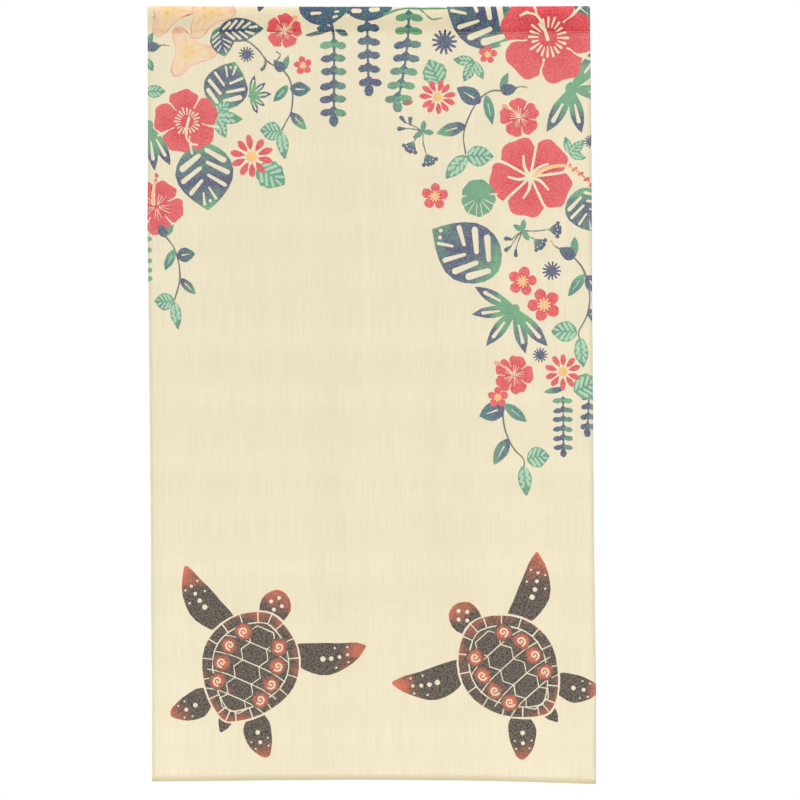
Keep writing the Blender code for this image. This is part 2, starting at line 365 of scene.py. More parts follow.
def hang(right, along):
    """Where places of the cut cloth hang, as X, Y and Z of the middle of its thickness."""
    across, side_depth = turn_side(right)
    layers = layers_at(across)
    depth, down = section(along, across, layers)
    depth_before, down_before = section(along - PROBE, across, layers)
    depth_after, down_after = section(along + PROBE, across, layers)
    run = np.hypot(depth_after - depth_before, down_after - down_before)
    depth = depth + side_depth * (down_after - down_before) / run
    down = down - side_depth * (depth_after - depth_before) / run
    share = np.clip((down - POCKET_HEIGHT - SEWING_GAP) / (LENGTH - POCKET_HEIGHT - SEWING_GAP), 0, None)
    low = down + share**3 * bottom_droop(across)
    x = across_at(across / HALF_WIDTH, low)
    y = drape(x, low) - FRONT + SHEET / 2 + depth
    return x, y, -low + (1 - share) * top_lift(x)


# ---------------------------------------------------------------- the print
# Places on the print are complex numbers in millimetres: real to the right of the middle, and imaginary down
# from the top fold. Headings are degrees, 0 up the cloth and 90 to the right.

# ---- inks
Inks = namedtuple("Inks", "one two")
NAVY, GREEN, TEAL = "#455177", "#68A580", "#3E777E"
RED, ROSE, ORANGE = "#D23C51", "#DC5A64", "#DE7F4E"
YELLOW, STRAW, PEACH, PINK = "#EDC07C", "#E1C989", "#E8D1B2", "#DDA08C"
CHARCOAL, RUST = "#3D3032", "#CB5F45"
OLIVE, MINT = "#6A7464", "#A9CDB6"

LEAF = Inks(NAVY, GREEN)
SHADED = Inks(NAVY, TEAL)
FRESH = Inks(GREEN, TEAL)
STEM = Inks(OLIVE, NAVY)
WASH = Inks(MINT, MINT)  # the pale ground inside the leaves that are drawn in line
PETAL = Inks(RED, ROSE)
POLLEN = Inks(YELLOW, ORANGE)
BRACT = Inks(PEACH, PINK)
DARK = Inks(NAVY, NAVY)
SHELL = Inks(CHARCOAL, RUST)
PURE = -0.22  # a blend so far below 0 that the brushed patches hardly bring the second ink into the first

# `blend` says how far a shape has gone from its first ink to its second: a number or a function of places
Shape = namedtuple("Shape", "outline inks blend")


def towards(heading):
    """The direction of a compass heading in degrees: 0 is up the cloth, 90 to the right and 180 down it."""
    return complex(math.sin(math.radians(heading)), -math.cos(math.radians(heading)))


def fade(start, end):
    """A blend that runs from 0 at one place to 1 at another."""
    run = end - start
    return lambda place: np.clip(((place - start) * np.conj(run)).real / abs(run) ** 2, 0, 1)


def fade_to_ends(start, end):
    """A blend that is 0 halfway between two places and 1 at both."""
    along = fade(start, end)
    return lambda place: np.abs(2 * along(place) - 1) ** 2.2


def fade_outwards(centre, start, end):
    """A blend that is 0 within one distance of a place and 1 beyond another."""
    return lambda place: np.clip((np.abs(place - centre) - start) / (end - start), 0, 1)


def out_of_dark(blend):
    """A blend that starts below 0, where the first ink stays pure in the brushed patches as well."""
    return lambda place: PURE + (1 - PURE) * blend(place)


def smooth_path(places, steps=5):
    """A smooth line through given places."""
    places = [complex(place) for place in places]
    padded = [2 * places[0] - places[1]] + places + [2 * places[-1] - places[-2]]
    line = []
    for before, here, after, later in zip(padded, padded[1:], padded[2:], padded[3:]):
        for share in np.arange(steps) / steps:
            line.append(
                here
                + share * (after - before) / 2
                + share**2 * (before - 2.5 * here + 2 * after - later / 2)
                + share**3 * (1.5 * (here - after) + (later - before) / 2)
            )
    return np.array(line + [places[-1]])


# The corners of a line's round ends, in degrees off its heading, where it's wider than so many millimetres
END_CORNERS = ((8, (-60, -30, 0, 30, 60)), (3, (-45, 0, 45)), (0, (-35, 35)))


def stroke(path, wide, narrow):
    """The outline of a brush line along a path, from one width to another, with round ends."""
    path = np.asarray(path, dtype=complex)
    along = np.gradient(path)
    along = along / np.abs(along)
    half = np.linspace(wide, narrow, len(path)) / 2
    turns = next(turns for over, turns in END_CORNERS if max(wide, narrow) > over)
    cap = np.exp(1j * np.radians(turns))
    end = path[-1] + half[-1] * along[-1] * cap
    start = path[0] - half[0] * along[0] * cap
    return np.concatenate([path - 1j * along * half, end, (path + 1j * along * half)[::-1], start])


def disc(centre, radius, corners=12):
    return centre + radius * np.exp(2j * np.pi * np.arange(corners) / corners)


def star(centre, heading, rays, root, reach, tip):
    """A star of narrow rays, whose gaps go in to `root` and whose blunt tips are `tip` wide."""
    outline = []
    for number in range(rays):
        out, side = towards(heading + 360 / rays * number), towards(heading + 360 / rays * number + 90)
        gap = towards(heading + 360 / rays * (number + 0.5))
        outline += [reach * out - tip / 2 * side, reach * out + tip / 2 * side, root * gap]
    return centre + np.array(outline)


LOBE_DEPTH = 0.16  # of half a leaf's width


def leaf_half(share, fullest, base, tip):
    """Half a leaf's width at a share of its length, 1 where it's widest.

    `base` and `tip` say how the two ends close: 0.5 is round and 1 is pointed.
    """
    swell = np.abs(np.sin(np.pi * share ** (math.log(0.5) / math.log(fullest))))
    return swell ** (base + (tip - base) * share)


def bent(share, bend):
    """A place on a leaf's middle line, for a leaf of length 1 whose middle stands off by `bend`."""
    return share + 4j * bend * share * (1 - share)


def leaf_outline(at, heading, length, width, fullest=0.45, base=0.8, tip=0.8, bend=0.0, steps=10, lobes=0):
    """A leaf's outline from its base to its tip, with a plain edge or a number of lobes at each side."""
    share = 0.5 - 0.5 * np.cos(np.linspace(0, np.pi, steps + 1))
    lobed = 1 + LOBE_DEPTH * np.abs(np.sin(np.pi * lobes * share))
    half = width / 2 * leaf_half(share, fullest, base, tip) * lobed
    middle = length * bent(share, bend)
    outline = np.concatenate([middle - 1j * half, (middle + 1j * half)[-2:0:-1]])
    return at + towards(heading) * outline


def grown(outline, amount):
    """The outline moved outwards by an amount, or inwards below 0."""
    run = np.roll(outline, -1) - np.roll(outline, 1)
    turning = np.sum((np.conj(outline) * np.roll(outline, -1)).imag)
    return outline - 1j * amount * np.sign(turning) * run / np.maximum(np.abs(run), 1e-6)


INK_SLIP, BARE_SLIP = 0.25, 0.12  # how many millimetres the cut edge swings, of an ink and of a bare place


class Print:
    """The shapes of the print, in the order in which they lie on each other."""

    def __init__(self, seed):
        self.shapes = []
        self.chance = random.Random(seed)

    def hand_cut(self, outline, slip):
        """The outline with the slight unevenness of a stencil cut by hand."""
        run = np.roll(outline, -1) - np.roll(outline, 1)
        turns = np.linspace(0, 2 * np.pi, len(outline), endpoint=False)
        swing = sum(np.sin(count * turns + self.chance.uniform(0, 2 * math.pi)) for count in (3, 5, 8))
        return outline + 1j * run / np.maximum(np.abs(run), 1e-6) * swing * slip

    def ink(self, outline, inks, blend=0.35, slip=INK_SLIP):
        """Lays inks over what is there."""
        self.shapes.append(Shape(self.hand_cut(np.asarray(outline), slip), inks, blend))

    def bare(self, outline, wash=None):
        """Leaves a place bare, or washes it with a pale ink."""
        self.shapes.append(Shape(self.hand_cut(np.asarray(outline), BARE_SLIP), wash, 0.0))

    def varied(self, value, share):
        """The value, made larger or smaller by up to this share."""
        return value * (1 + self.chance.uniform(-share, share))


# ---- flowers

def hibiscus_petal(at, heading, radius, spread, ruffle):
    """One broad petal, `spread` degrees to either side of its heading, with a ruffled outer edge."""
    place = np.linspace(-1, 1, 21 if radius > 60 else 15)
    angle = np.radians(spread * np.sin(np.pi / 2 * place))
    reach = radius * (1 - 0.38 * np.abs(place) ** 2.8 + 0.03 * np.sin(3.2 * np.pi * place + ruffle))
    side = 0.42 * radius * np.exp(1j * np.radians(spread) * np.array([-0.9, 0.9]))
    outline = np.concatenate([[0.05 * radius], side[:1], reach * np.exp(1j * angle), side[1:]])
    return at + towards(heading) * outline


def petal_lines(cloth, at, radius, turn, heart):
    """The bare lines on one petal of a hibiscus."""
    if heart == "ringed":
        for fan in (-27, -9, 9, 27):
            ray = radius * towards(turn + fan)
            near, far = cloth.varied(0.22, 0.08), cloth.varied(0.42 - 0.002 * abs(fan), 0.1)
            cloth.bare(stroke([at + near * ray, at + far * ray], 0.028 * radius, 0.055 * radius))
    elif heart == "starred":
        middle, end = at + 0.28 * radius * towards(turn - 4), at + 0.54 * radius * towards(turn + 9)
        cloth.bare(stroke(smooth_path([at, middle, end], 3), 0.095 * radius, 0.05 * radius))
    else:
        for fan in (-16, 0, 16):
            ray = radius * towards(turn + fan)
            cloth.bare(stroke([at + 0.1 * ray, at + cloth.varied(0.5, 0.12) * ray], 1.3, 0.9))


def hibiscus(cloth, at, radius, heading, heart):
    """A hibiscus of five petals; its heart is ringed with short lines, starred or finely veined."""
    starred = heart == "starred"
    blend = fade_outwards(at, 0.3 * radius, 1.1 * radius)
    for number in range(5):
        ruffle = cloth.chance.uniform(0, 6)
        petal = hibiscus_petal(at, heading + 72 * number, cloth.varied(radius, 0.04), 36, ruffle)
        cloth.ink(petal, PETAL, blend, slip=0.4)
    cloth.ink(disc(at, 0.46 * radius, 15), PETAL, blend)
    for number in range(5):
        turn = heading + 72 * number
        gap = towards(turn + 36 + cloth.chance.uniform(-2, 2))
        lean = towards(turn + 38)
        near = 0.1 if starred else cloth.varied(0.5, 0.06)
        path = smooth_path([at + near * radius * gap, at + 0.72 * radius * lean, at + radius * gap], 3)
        cloth.bare(stroke(path, 0.06 * radius if starred else 1.0, 0.07 * radius))
        petal_lines(cloth, at, radius, turn, heart)
    if starred:
        cloth.bare(disc(at, 0.12 * radius))


def bare_stamen(cloth, at, radius, heading):
    """A stamen left bare in the print, bent over towards a broad end."""
    out, side = radius * towards(heading), radius * towards(heading + 90)
    root, middle = at + 0.3 * out + 0.08 * side, at + 0.62 * out + 0.1 * side
    path = smooth_path([at, root, middle, at + 0.84 * out - 0.1 * side])
    cloth.bare(stroke(path, 0.085 * radius, 0.05 * radius))
    end = path[-1]
    cloth.bare(stroke([end - 0.12 * side, end + 0.06 * side - 0.03 * out], 0.06 * radius, 0.07 * radius))


def pollen_stamen(cloth, at, places, dots):
    """A yellow stamen through some places, with red pollen to both sides of its end."""
    path = smooth_path([at] + places, 7)
    cloth.bare(stroke(path, 8.0, 4.0))
    cloth.ink(stroke(path, 5.4, 2.2), POLLEN, fade(path[len(path) // 3], path[-1]))
    for number in range(dots):
        place = path[-1 - number] + 3.8j * (-1) ** number
        cloth.ink(disc(place, cloth.varied(3.3, 0.2), 8), Inks(RED, ORANGE), fade(path[-1], path[-dots - 1]))


def thin_stamen(cloth, at, radius, heading):
    """A thin yellow stamen that ends in a few dots of pollen."""
    out, side = radius * towards(heading), radius * towards(heading + 90)
    path = smooth_path([at, at + 0.55 * out + 0.05 * side, at + 1.1 * out - 0.06 * side], 4)
    cloth.bare(stroke(path, 4.4, 3.2))
    cloth.ink(stroke(path, 2.4, 1.6), POLLEN, fade(at, path[-1]))
    for number in range(4):
        cloth.ink(disc(path[-1] + 3.2 * towards(heading + 90 * number), 2.1, 7), Inks(ORANGE, YELLOW))


def blossom(cloth, at, radius, heading):
    """A small blossom of five round petals with a yellow star at its heart."""
    for number in range(5):
        place = at + 0.64 * radius * towards(heading + 72 * number)
        cloth.ink(disc(place, cloth.varied(0.37 * radius, 0.06), 11), PETAL, fade_outwards(at, 0, radius))
    cloth.ink(disc(at, 0.5 * radius, 11), PETAL)
    cloth.ink(star(at, heading + 18, 10, 0.2 * radius, 0.42 * radius, 0.09 * radius), Inks(YELLOW, PEACH))
    for number in range(5):
        cloth.ink(disc(at + 0.14 * radius * towards(heading + 72 * number), 0.045 * radius, 6), POLLEN, 0.8)


def daisy(cloth, at, radius, heading, petals=10):
    """A daisy of narrow red petals round a yellow heart."""
    for number in range(petals):
        turn = heading + 360 / petals * number + cloth.chance.uniform(-4, 4)
        base = at + 0.3 * radius * towards(turn)
        length = cloth.varied(0.7 * radius, 0.07)
        petal = leaf_outline(base, turn, length, 0.32 * radius, 0.6, 0.7, 0.45, steps=8)
        cloth.ink(petal, PETAL, fade_outwards(at, 0.3 * radius, radius))
    cloth.ink(disc(at, 0.26 * radius, 12), POLLEN, fade_outwards(at, 0.1 * radius, 1.2 * radius))


def burst(cloth, at, radius, heading):
    """A small navy flower of fine rays."""
    cloth.ink(star(at, heading, 13, 0.5 * radius, radius, 0.17 * radius), DARK, slip=0.1)


def bract(cloth, at, radius, heading):
    """A pale three-cornered flower of papery bracts, pink at its edges and straw yellow at its heart."""
    turns = np.linspace(0, 2 * np.pi, 36, endpoint=False)
    reach = radius * (0.66 + 0.25 * np.cos(3 * turns) + 0.07 * np.cos(6 * turns))
    outline = at + towards(heading) * reach * np.exp(1j * turns)
    cloth.ink(outline, Inks(PINK, PEACH), 0.25, slip=0.4)
    cloth.ink(grown(outline, -1.7), BRACT, fade_outwards(at, 0.5 * radius, 1.8 * radius), slip=0.4)
    cloth.ink(at + 0.62 * (outline - at), Inks(STRAW, PEACH), fade_outwards(at, -0.1 * radius, 0.5 * radius))
    for number in range(3):
        turn = heading + 120 * number
        for fan in (-14, 14):
            ray = radius * towards(turn + fan)
            cloth.ink(stroke([at + 0.34 * ray, at + 0.62 * ray], 1.2, 0.7), Inks(PINK, PEACH))
        cloth.ink(disc(at + 0.16 * radius * towards(turn), 0.065 * radius, 8), Inks(STRAW, YELLOW), 0.7)


# ---- leaves

# The cells of a leaf: how many lie to each side, where the first starts and how far each runs towards the
# tip, both as shares of the length, how much of the room they fill, and by what share of the first one's size
# each is smaller than the one before
Cells = namedtuple("Cells", "count first slant fill smaller")
SLOTS = Cells(4, 0.11, 0.17, 0.5, 0.18)
FINE_SLOTS = Cells(5, 0.10, 0.16, 0.44, 0.04)
VEINED = Cells(4, 0.09, 0.15, 0.64, 0.05)
TOOTHED = Cells(4, 0.07, 0.19, 0.58, 0.06)
CELLED_SHARE = 0.74  # share of a leaf's length along which its cells start


def celled_leaf(cloth, at, heading, length, width, inks, blend, cells, rim, rib, wash=None, lobes=0):
    """A leaf with cells at both sides of its rib, left bare or washed.

    `rim` and `rib` are the millimetres of ink left at its edge and to each side of its middle line.
    """
    way = towards(heading)
    form = (0.44, 0.6, 0.92)
    outline = leaf_outline(at, heading, length, width, *form, steps=11 + 3 * lobes, lobes=lobes)
    cloth.ink(outline, inks, blend, slip=0.3)
    pitch = CELLED_SHARE / cells.count
    for side in (-1, 1):
        for number in range(cells.count):
            start = cells.first + pitch * (number + 0.4 * (side > 0))
            end = start + cells.slant
            thick = cloth.varied(cells.fill * pitch * length * (1 - cells.smaller * number), 0.12)
            thin = 0.72 * thick
            near = rib + thin / 2
            out = width / 2 * float(leaf_half(end, *form)) - rim - thick / 2
            if out > near:
                inner = at + way * (length * start + 1j * side * near)
                outer = at + way * (length * end + 1j * side * out)
                cloth.bare(stroke([inner, outer], thin, thick), wash)


def slotted_leaf(cloth, at, heading, length, width, inks=LEAF):
    """A broad leaf with long slots, dark across its middle, and with dots near its tip."""
    way = towards(heading)
    blend = fade_to_ends(at + 0.08 * length * way, at + 0.98 * length * way)
    celled_leaf(cloth, at, heading, length, width, inks, blend, SLOTS, 0.055 * length, 0.03 * length)
    for side, share in ((-1, 0.86), (1, 0.9)):
        cloth.bare(disc(at + way * (length * share + 0.05j * side * width), 0.026 * length, 8))


def line_leaf(cloth, at, heading, length, width, inks=FRESH):
    """A leaf drawn in line, with its veins."""
    blend = fade(at, at + 2.2 * length * towards(heading))
    celled_leaf(cloth, at, heading, length, width, inks, blend, VEINED, 1.5, 0.6, WASH)


def full_leaf(cloth, at, heading, length, width, inks=LEAF):
    """A leaf in solid ink with a slit along its rib, bare in a dark leaf and washed in a green one."""
    way = length * towards(heading)
    cloth.ink(leaf_outline(at, heading, length, width, 0.45, 0.7, 0.9), inks, fade(at, at + way))
    slit = stroke([at + 0.3 * way, at + 0.7 * way], 0.05 * width + 1.6, 1.2)
    cloth.bare(slit, WASH if inks == FRESH else None)


def toothed_leaf(cloth, at, heading, length, width):
    """A short leaf drawn in line, with a scalloped edge."""
    blend = fade(at, at + 2.6 * length * towards(heading))
    celled_leaf(cloth, at, heading, length, width, FRESH, blend, TOOTHED, 1.0, 0.9, WASH, lobes=4)


def palm_fan(cloth, at, leaflets, width):
    """A fan of pointed leaflets, each a heading and a length, green at the root and navy at its tip."""
    for heading, length in leaflets:
        way = length * towards(heading)
        leaflet = leaf_outline(at, heading, length, width * length, 0.52, 0.62, 0.95)
        cloth.ink(leaflet, Inks(GREEN, NAVY), fade(at + 0.4 * way, at + 0.72 * way))
        cloth.bare(stroke([at + 0.36 * way, at + 0.74 * way], 0.04 * length, 0.3 * width * length))
    cloth.ink(disc(at, 0.11 * leaflets[0][1], 11), Inks(GREEN, GREEN))


# The slits of a split leaf: degrees off its heading, the share of its radius where each starts, and its width
# at the rim
SPLITS = ((104, 0.64, 4.0), (70, 0.3, 2.0), (44, 0.26, 1.9), (16, 0.32, 1.9))


def split_leaf(cloth, at, heading, radius):
    """A round leaf with two notches beside its stem and slits in from its rim."""
    turns = np.linspace(0, 2 * np.pi, 35, endpoint=False)
    reach = radius * (1 + 0.05 * np.cos(2 * turns) + 0.03 * np.cos(9 * turns))
    outline = at + towards(heading) * reach * np.exp(1j * turns)
    cloth.ink(outline, FRESH, fade_outwards(at, 0.4 * radius, 3 * radius))
    for side in (-1, 1):
        for fan, near, wide in SPLITS:
            ray = radius * towards(heading + side * fan)
            lean = radius * towards(heading + side * (fan - 6))
            cloth.bare(stroke([at + near * ray, at + 1.06 * lean], 1.2, wide))


GREEN_FROM = 0.6  # from this tone on, a frond's leaflets go to green instead of teal


def frond(cloth, at, pitch, left, right, tones, lean=0.0, greener=0.45):
    """A hanging frond: a stem with pairs of round-ended leaflets, as long as `left` and `right`.

    Each tone is how far its pair has gone from navy, and the right leaflet goes `greener` further.
    """
    length = pitch * len(tones)

    def on_stem(share):
        return at + length * (1j * share + lean * share**2)

    cloth.ink(stroke(on_stem(np.linspace(0, 1, 9)), 0.19 * pitch, 0.15 * pitch), Inks(TEAL, NAVY), 0.5)
    for number, tone in enumerate(tones):
        place = on_stem((number + 0.5) / len(tones)) - 0.12j * pitch
        flare = leaf_outline(place - 0.5j * pitch, 180, 0.8 * pitch, 0.94 * pitch, 0.64, 0.85, 0.7, steps=6)
        cloth.ink(flare, SHADED, tone)
        for side, reach in ((-1, left), (1, right)):
            heading = 180 - side * (80 + cloth.chance.uniform(-4, 6))
            shade = min(max(tone + greener * (side > 0) + cloth.chance.uniform(-0.1, 0.1), 0), 1)
            inks = LEAF if greener * side > 0 or tone > GREEN_FROM else SHADED
            long = cloth.varied(reach, 0.07)
            leaflet = leaf_outline(place, heading, long, 0.56 * pitch, 0.54, 0.5, 0.45, steps=7)
            cloth.ink(leaflet, inks, shade)
    end = on_stem(1.0) - 0.62j * pitch
    inks = LEAF if tones[-1] > GREEN_FROM else SHADED
    cloth.ink(leaf_outline(end, 180 + 60 * lean, 1.1 * pitch, 0.7 * pitch, 0.6, 0.7, 0.5), inks, tones[-1])


def bud(cloth, at, heading, size, sepal=1, pistil=True):
    """A closed flower bud with a thin pistil. Its sepal stands to its right, or to its left at -1."""
    cloth.ink(leaf_outline(at, heading + 58 * sepal, 1.35 * size, 0.52 * size, 0.5, 0.9, 0.9), FRESH)
    body = leaf_outline(at, heading, 1.2 * size, 0.82 * size, 0.4, 0.65, 0.95)
    cloth.ink(body, SHADED, fade(at, at + 2 * size * towards(heading)))
    if not pistil:
        return
    tip = at + 1.05 * size * towards(heading)
    middle, end = tip + 0.42 * size * towards(heading - 6), tip + 0.85 * size * towards(heading + 10)
    path = smooth_path([tip, middle, end], 3)
    cloth.ink(stroke(path, 3.2, 1.6), Inks(OLIVE, ORANGE), fade(path[1], path[-1]))


def bell(cloth, at, heading, size):
    """A small bell flower seen from its side, with a lobed mouth."""
    cup = leaf_outline(at, heading, size, 0.95 * size, 0.66, 0.6, 0.6)
    cloth.ink(cup, LEAF, fade(at + 0.5 * size * towards(heading), at))
    for fan in (-36, -12, 12, 36):
        cloth.ink(disc(at + 0.88 * size * towards(heading + fan), 0.16 * size, 8), DARK)
    for fan in (-24, 0, 24):
        cloth.bare(disc(at + 0.7 * size * towards(heading + fan), 0.06 * size, 6))


def spray(cloth, at, ends, leaves):
    """A fine forked stem. Each end is a place, a heading and what it carries, and each leaf a heading."""
    for place, heading, kind in ends:
        middle = (at + place) / 2 + 2 * towards(heading + 90)
        cloth.ink(stroke(smooth_path([at, middle, place], 3), 2.4, 2.0), STEM, 0.3)
        if kind == "bell":
            bell(cloth, place, heading, 25)
        else:
            closed = stroke([place, place + 11 * towards(heading)], 4.0, 8.5)
            cloth.ink(closed, LEAF, fade(place - 5, place + 30))
    for heading in leaves:
        cloth.ink(leaf_outline(at, heading, 22, 11, 0.5, 0.7, 0.8), FRESH)


def vine(cloth, places, wide=3.4, narrow=2.8, inks=STEM):
    """A stem drawn through some places."""
    path = smooth_path(places)
    cloth.ink(stroke(path, wide, narrow), inks, fade(path[0], 2 * path[-1] - path[0]))


# ---- the pair at the foot: sea turtles seen from above

# Their sizes and places are shares of the shell's length, along it from its middle and across it
Flipper = namedtuple("Flipper", "along across turn length width bend spots")
FLIPPERS = [
    Flipper(0.26, 0.25, 62, 0.68, 0.28, 0.13, 4),
    Flipper(-0.32, 0.2, 142, 0.42, 0.24, 0.06, 2),
]
HEAD_SPOTS = ((0.60, 0.05), (0.60, -0.05), (0.545, 0.0), (0.655, 0.0))
SHELL_WIDTH, SHELL_RIM = 0.84, 0.085
PLATE_ENDS = (0.36, 0.205, 0.04, -0.125, -0.28, -0.40)  # the plates down the back, from the head to the tail
PLATE_HALF, PLATE_BULGE = 0.075, 0.125  # half their width, at their ends and in their middles
CURLS = ((0.265, 0.165), (0.11, 0.225), (-0.055, 0.232), (-0.215, 0.2))
RIM_LINE, PLATE_LINE = 2.2, 1.9  # widths in millimetres of the bare lines in the rim and about the plates


def spiral(cloth, at, radius, heading, side):
    """A bare curl that winds out clockwise, or the other way at side -1."""
    share = np.linspace(0, 1, 13)
    path = at + radius * (0.14 + 0.86 * share) * np.exp(2.6j * side * np.pi * share) * towards(heading)
    cloth.bare(stroke(path, 2.6, 3.2))


def glowing_curl(cloth, at, radius, heading, side):
    """A disc that glows red out of the dark, with a curl left bare in it."""
    glow = fade_outwards(at, 1.1 * radius, 1.9 * radius)
    cloth.ink(disc(at, 1.9 * radius, 15), Inks(RUST, CHARCOAL), glow)
    spiral(cloth, at, radius, heading, side)


def flipper(cloth, at, heading, length, width, bend, spots):
    """A flipper that glows red at its tip, with a row of spots that get smaller."""
    way = towards(heading)
    form = (0.42, 0.62, 0.62)
    outline = leaf_outline(at, heading, length, width, *form, bend=bend, steps=14)
    glow = out_of_dark(fade(at + 0.58 * length * way, at + 1.0 * length * way))
    cloth.ink(outline, SHELL, glow, slip=0.5)

    def on(share, off):
        return at + way * (length * bent(share, bend) + 1j * off)

    for number in range(spots):
        cloth.bare(disc(on(0.44 + 0.42 * number / spots, 0), width * (0.085 - 0.012 * number), 9))
    for share in (0.6, 0.76):
        for side in (-1, 1):
            off = 0.33 * width * side * float(leaf_half(share, *form))
            cloth.bare(disc(on(share, off), 0.036 * width, 7))


def turtle(cloth, at, heading, length):
    """A sea turtle seen from above; `at` is the middle of its shell and `length` the shell's length."""
    ahead, aside = towards(heading), towards(heading + 90)

    def on(along, across):
        return at + length * (along * ahead + across * aside)

    for side in (-1, 1):
        for limb in FLIPPERS:
            start, turn = on(limb.along, limb.across * side), heading + limb.turn * side
            size = (limb.length * length, limb.width * length)
            flipper(cloth, start, turn, *size, limb.bend * side, limb.spots)
    cloth.ink(leaf_outline(on(-0.42, 0), heading + 180, 0.19 * length, 0.12 * length, 0.4), SHELL, PURE)
    head = leaf_outline(on(0.36, 0), heading, 0.36 * length, 0.27 * length, 0.6, 0.5, 0.5)
    cloth.ink(head, SHELL, out_of_dark(fade(on(0.50, 0), on(0.74, 0))), slip=0.4)
    for along, across in HEAD_SPOTS:
        cloth.bare(disc(on(along, across), 0.018 * length, 8))

    shell = leaf_outline(on(-0.5, 0), heading, length, SHELL_WIDTH * length, 0.54, 0.56, 0.56, steps=18)
    glow = out_of_dark(fade_outwards(at, 0.34 * length, 0.60 * length))
    cloth.bare(grown(shell, 3.6))
    cloth.ink(shell, SHELL, glow, slip=0.4)
    rim = SHELL_RIM * length
    for outer, inner in zip(grown(shell, 1.0)[::2], grown(shell, -rim)[::2]):
        cloth.bare(stroke([outer, inner], RIM_LINE, RIM_LINE))
    cloth.bare(grown(shell, -rim))
    cloth.ink(grown(shell, -rim - 2.4), SHELL, glow)

    # the plates down the back, and the lines from their corners to the rim
    for top, foot in zip(PLATE_ENDS, PLATE_ENDS[1:]):
        right = [(top, PLATE_HALF), ((top + foot) / 2, PLATE_BULGE), (foot, PLATE_HALF)]
        left = [(along, -across) for along, across in reversed(right)]
        corners = [on(along, across) for along, across in right + left]
        for here, after in zip(corners, corners[1:] + corners[:1]):
            cloth.bare(stroke([here, after], PLATE_LINE, PLATE_LINE))
    for station in PLATE_ENDS[1:-1]:
        reach = SHELL_WIDTH / 2 * math.sqrt(1 - (station / 0.52) ** 2) - SHELL_RIM
        for side in (-1, 1):
            start = on(station, PLATE_HALF * side)
            middle = on(station - 0.005, (reach + PLATE_HALF) / 2 * side)
            path = smooth_path([start, middle, on(station - 0.03, reach * side)], 2)
            cloth.bare(stroke(path, PLATE_LINE, PLATE_LINE))
    for along, across in CURLS:
        for side in (-1, 1):
            glowing_curl(cloth, on(along, across * side), 0.042 * length, heading + 90 * side, side)


# ---- where everything stands on the cloth

def sprig(cloth, at, leaves):
    """Line leaves from one place, each a heading, a length and a width."""
    for heading, length, width in leaves:
        line_leaf(cloth, at, heading, length, width)


def gaps(cloth, *lines):
    """Short bare lines, each from one place to another and so wide."""
    for start, end, wide in lines:
        cloth.bare(stroke([start, end], wide, 0.9 * wide))


def print_top_left(cloth):
    bract(cloth, -384 + 6j, 60, 205)
    bract(cloth, -310 + 12j, 58, 88)
    bract(cloth, -346 + 88j, 56, 92)
    cloth.ink(leaf_outline(-204 - 8j, 200, 20, 13), DARK)
    for at, heading, length, inks, blend in (
        (-286 + 40j, 172, 58, LEAF, fade_to_ends(-286 + 40j, -278 + 98j)),
        (-288 + 48j, 86, 86, SHADED, fade(-262 + 47j, -205 + 42j)),
    ):
        celled_leaf(cloth, at, heading, length, 46, inks, blend, FINE_SLOTS, 3.2, 1.6)
    burst(cloth, -235 + 92j, 15, 5)
    slotted_leaf(cloth, -290 + 196j, 20, 96, 86)
    sprig(cloth, -296 + 212j, [(42, 40, 28), (95, 54, 24), (152, 46, 22)])
    palm_fan(cloth, -228 + 172j, [(11, 41), (48, 39), (84, 41), (124, 34), (158, 37)], 0.3)
    vine(cloth, [-264 + 67j, -236 + 66j, -212 + 84j, -197 + 104j, -174 + 118j])
    vine(cloth, [-166 + 120j, -152 + 142j, -147 + 178j, -152 + 206j, -168 + 238j])
    vine(cloth, [-200 + 98j, -199 + 112j, -206 + 121j], 3.0, 7.0)
    bud(cloth, -164 + 124j, 318, 24, pistil=False)
    vine(cloth, [-181 + 106j, -173 + 99j, -171 + 91j, -178 + 87j], 2.8, 2.2)
    full_leaf(cloth, -156 + 152j, 222, 42, 18, FRESH)
    full_leaf(cloth, -152 + 158j, 92, 40, 28, SHADED)
    full_leaf(cloth, -151 + 204j, 137, 44, 20)
    sprig(cloth, -170 + 240j, [(273, 40, 36), (172, 54, 23)])
    hibiscus(cloth, -163 + 47j, 34, 8, "veined")
    thin_stamen(cloth, -163 + 47j, 30, 44)
    blossom(cloth, -127 + 113j, 18, 350)
    bud(cloth, -428 + 80j, 82, 24, -1)
    full_leaf(cloth, -428 + 100j, 152, 28, 15, FRESH)
    line_leaf(cloth, -428 + 164j, 88, 37, 25)
    slotted_leaf(cloth, -322 + 262j, 174, 130, 112)
    palm_fan(cloth, -424 + 228j, [(172, 88), (151, 88), (196, 70)], 0.27)
    hibiscus(cloth, -350 + 221j, 62, 351, "ringed")
    bare_stamen(cloth, -346 + 214j, 62, 178)
    toothed_leaf(cloth, -214 + 308j, 122, 62, 48)
    daisy(cloth, -226 + 288j, 41, 355)
    hibiscus(cloth, -408 + 384j, 52, 28, "veined")
    pollen_stamen(cloth, -414 + 378j, [-414 + 352j, -408 + 322j], 3)
    bud(cloth, -392 + 442j, 338, 22, pistil=False)
    vine(cloth, [-394 + 438j, -374 + 464j, -365 + 500j, -365 + 530j, -376 + 564j])
    full_leaf(cloth, -374 + 466j, 205, 44, 18, FRESH)
    full_leaf(cloth, -370 + 478j, 84, 36, 28, SHADED)
    full_leaf(cloth, -363 + 522j, 136, 42, 18)
    sprig(cloth, -376 + 566j, [(271, 38, 34), (172, 54, 21)])
    for down in (446, 467, 488, 506, 522):
        cloth.ink(disc(-422 + down * 1j, 5.2, 9), Inks(GREEN, GREEN))


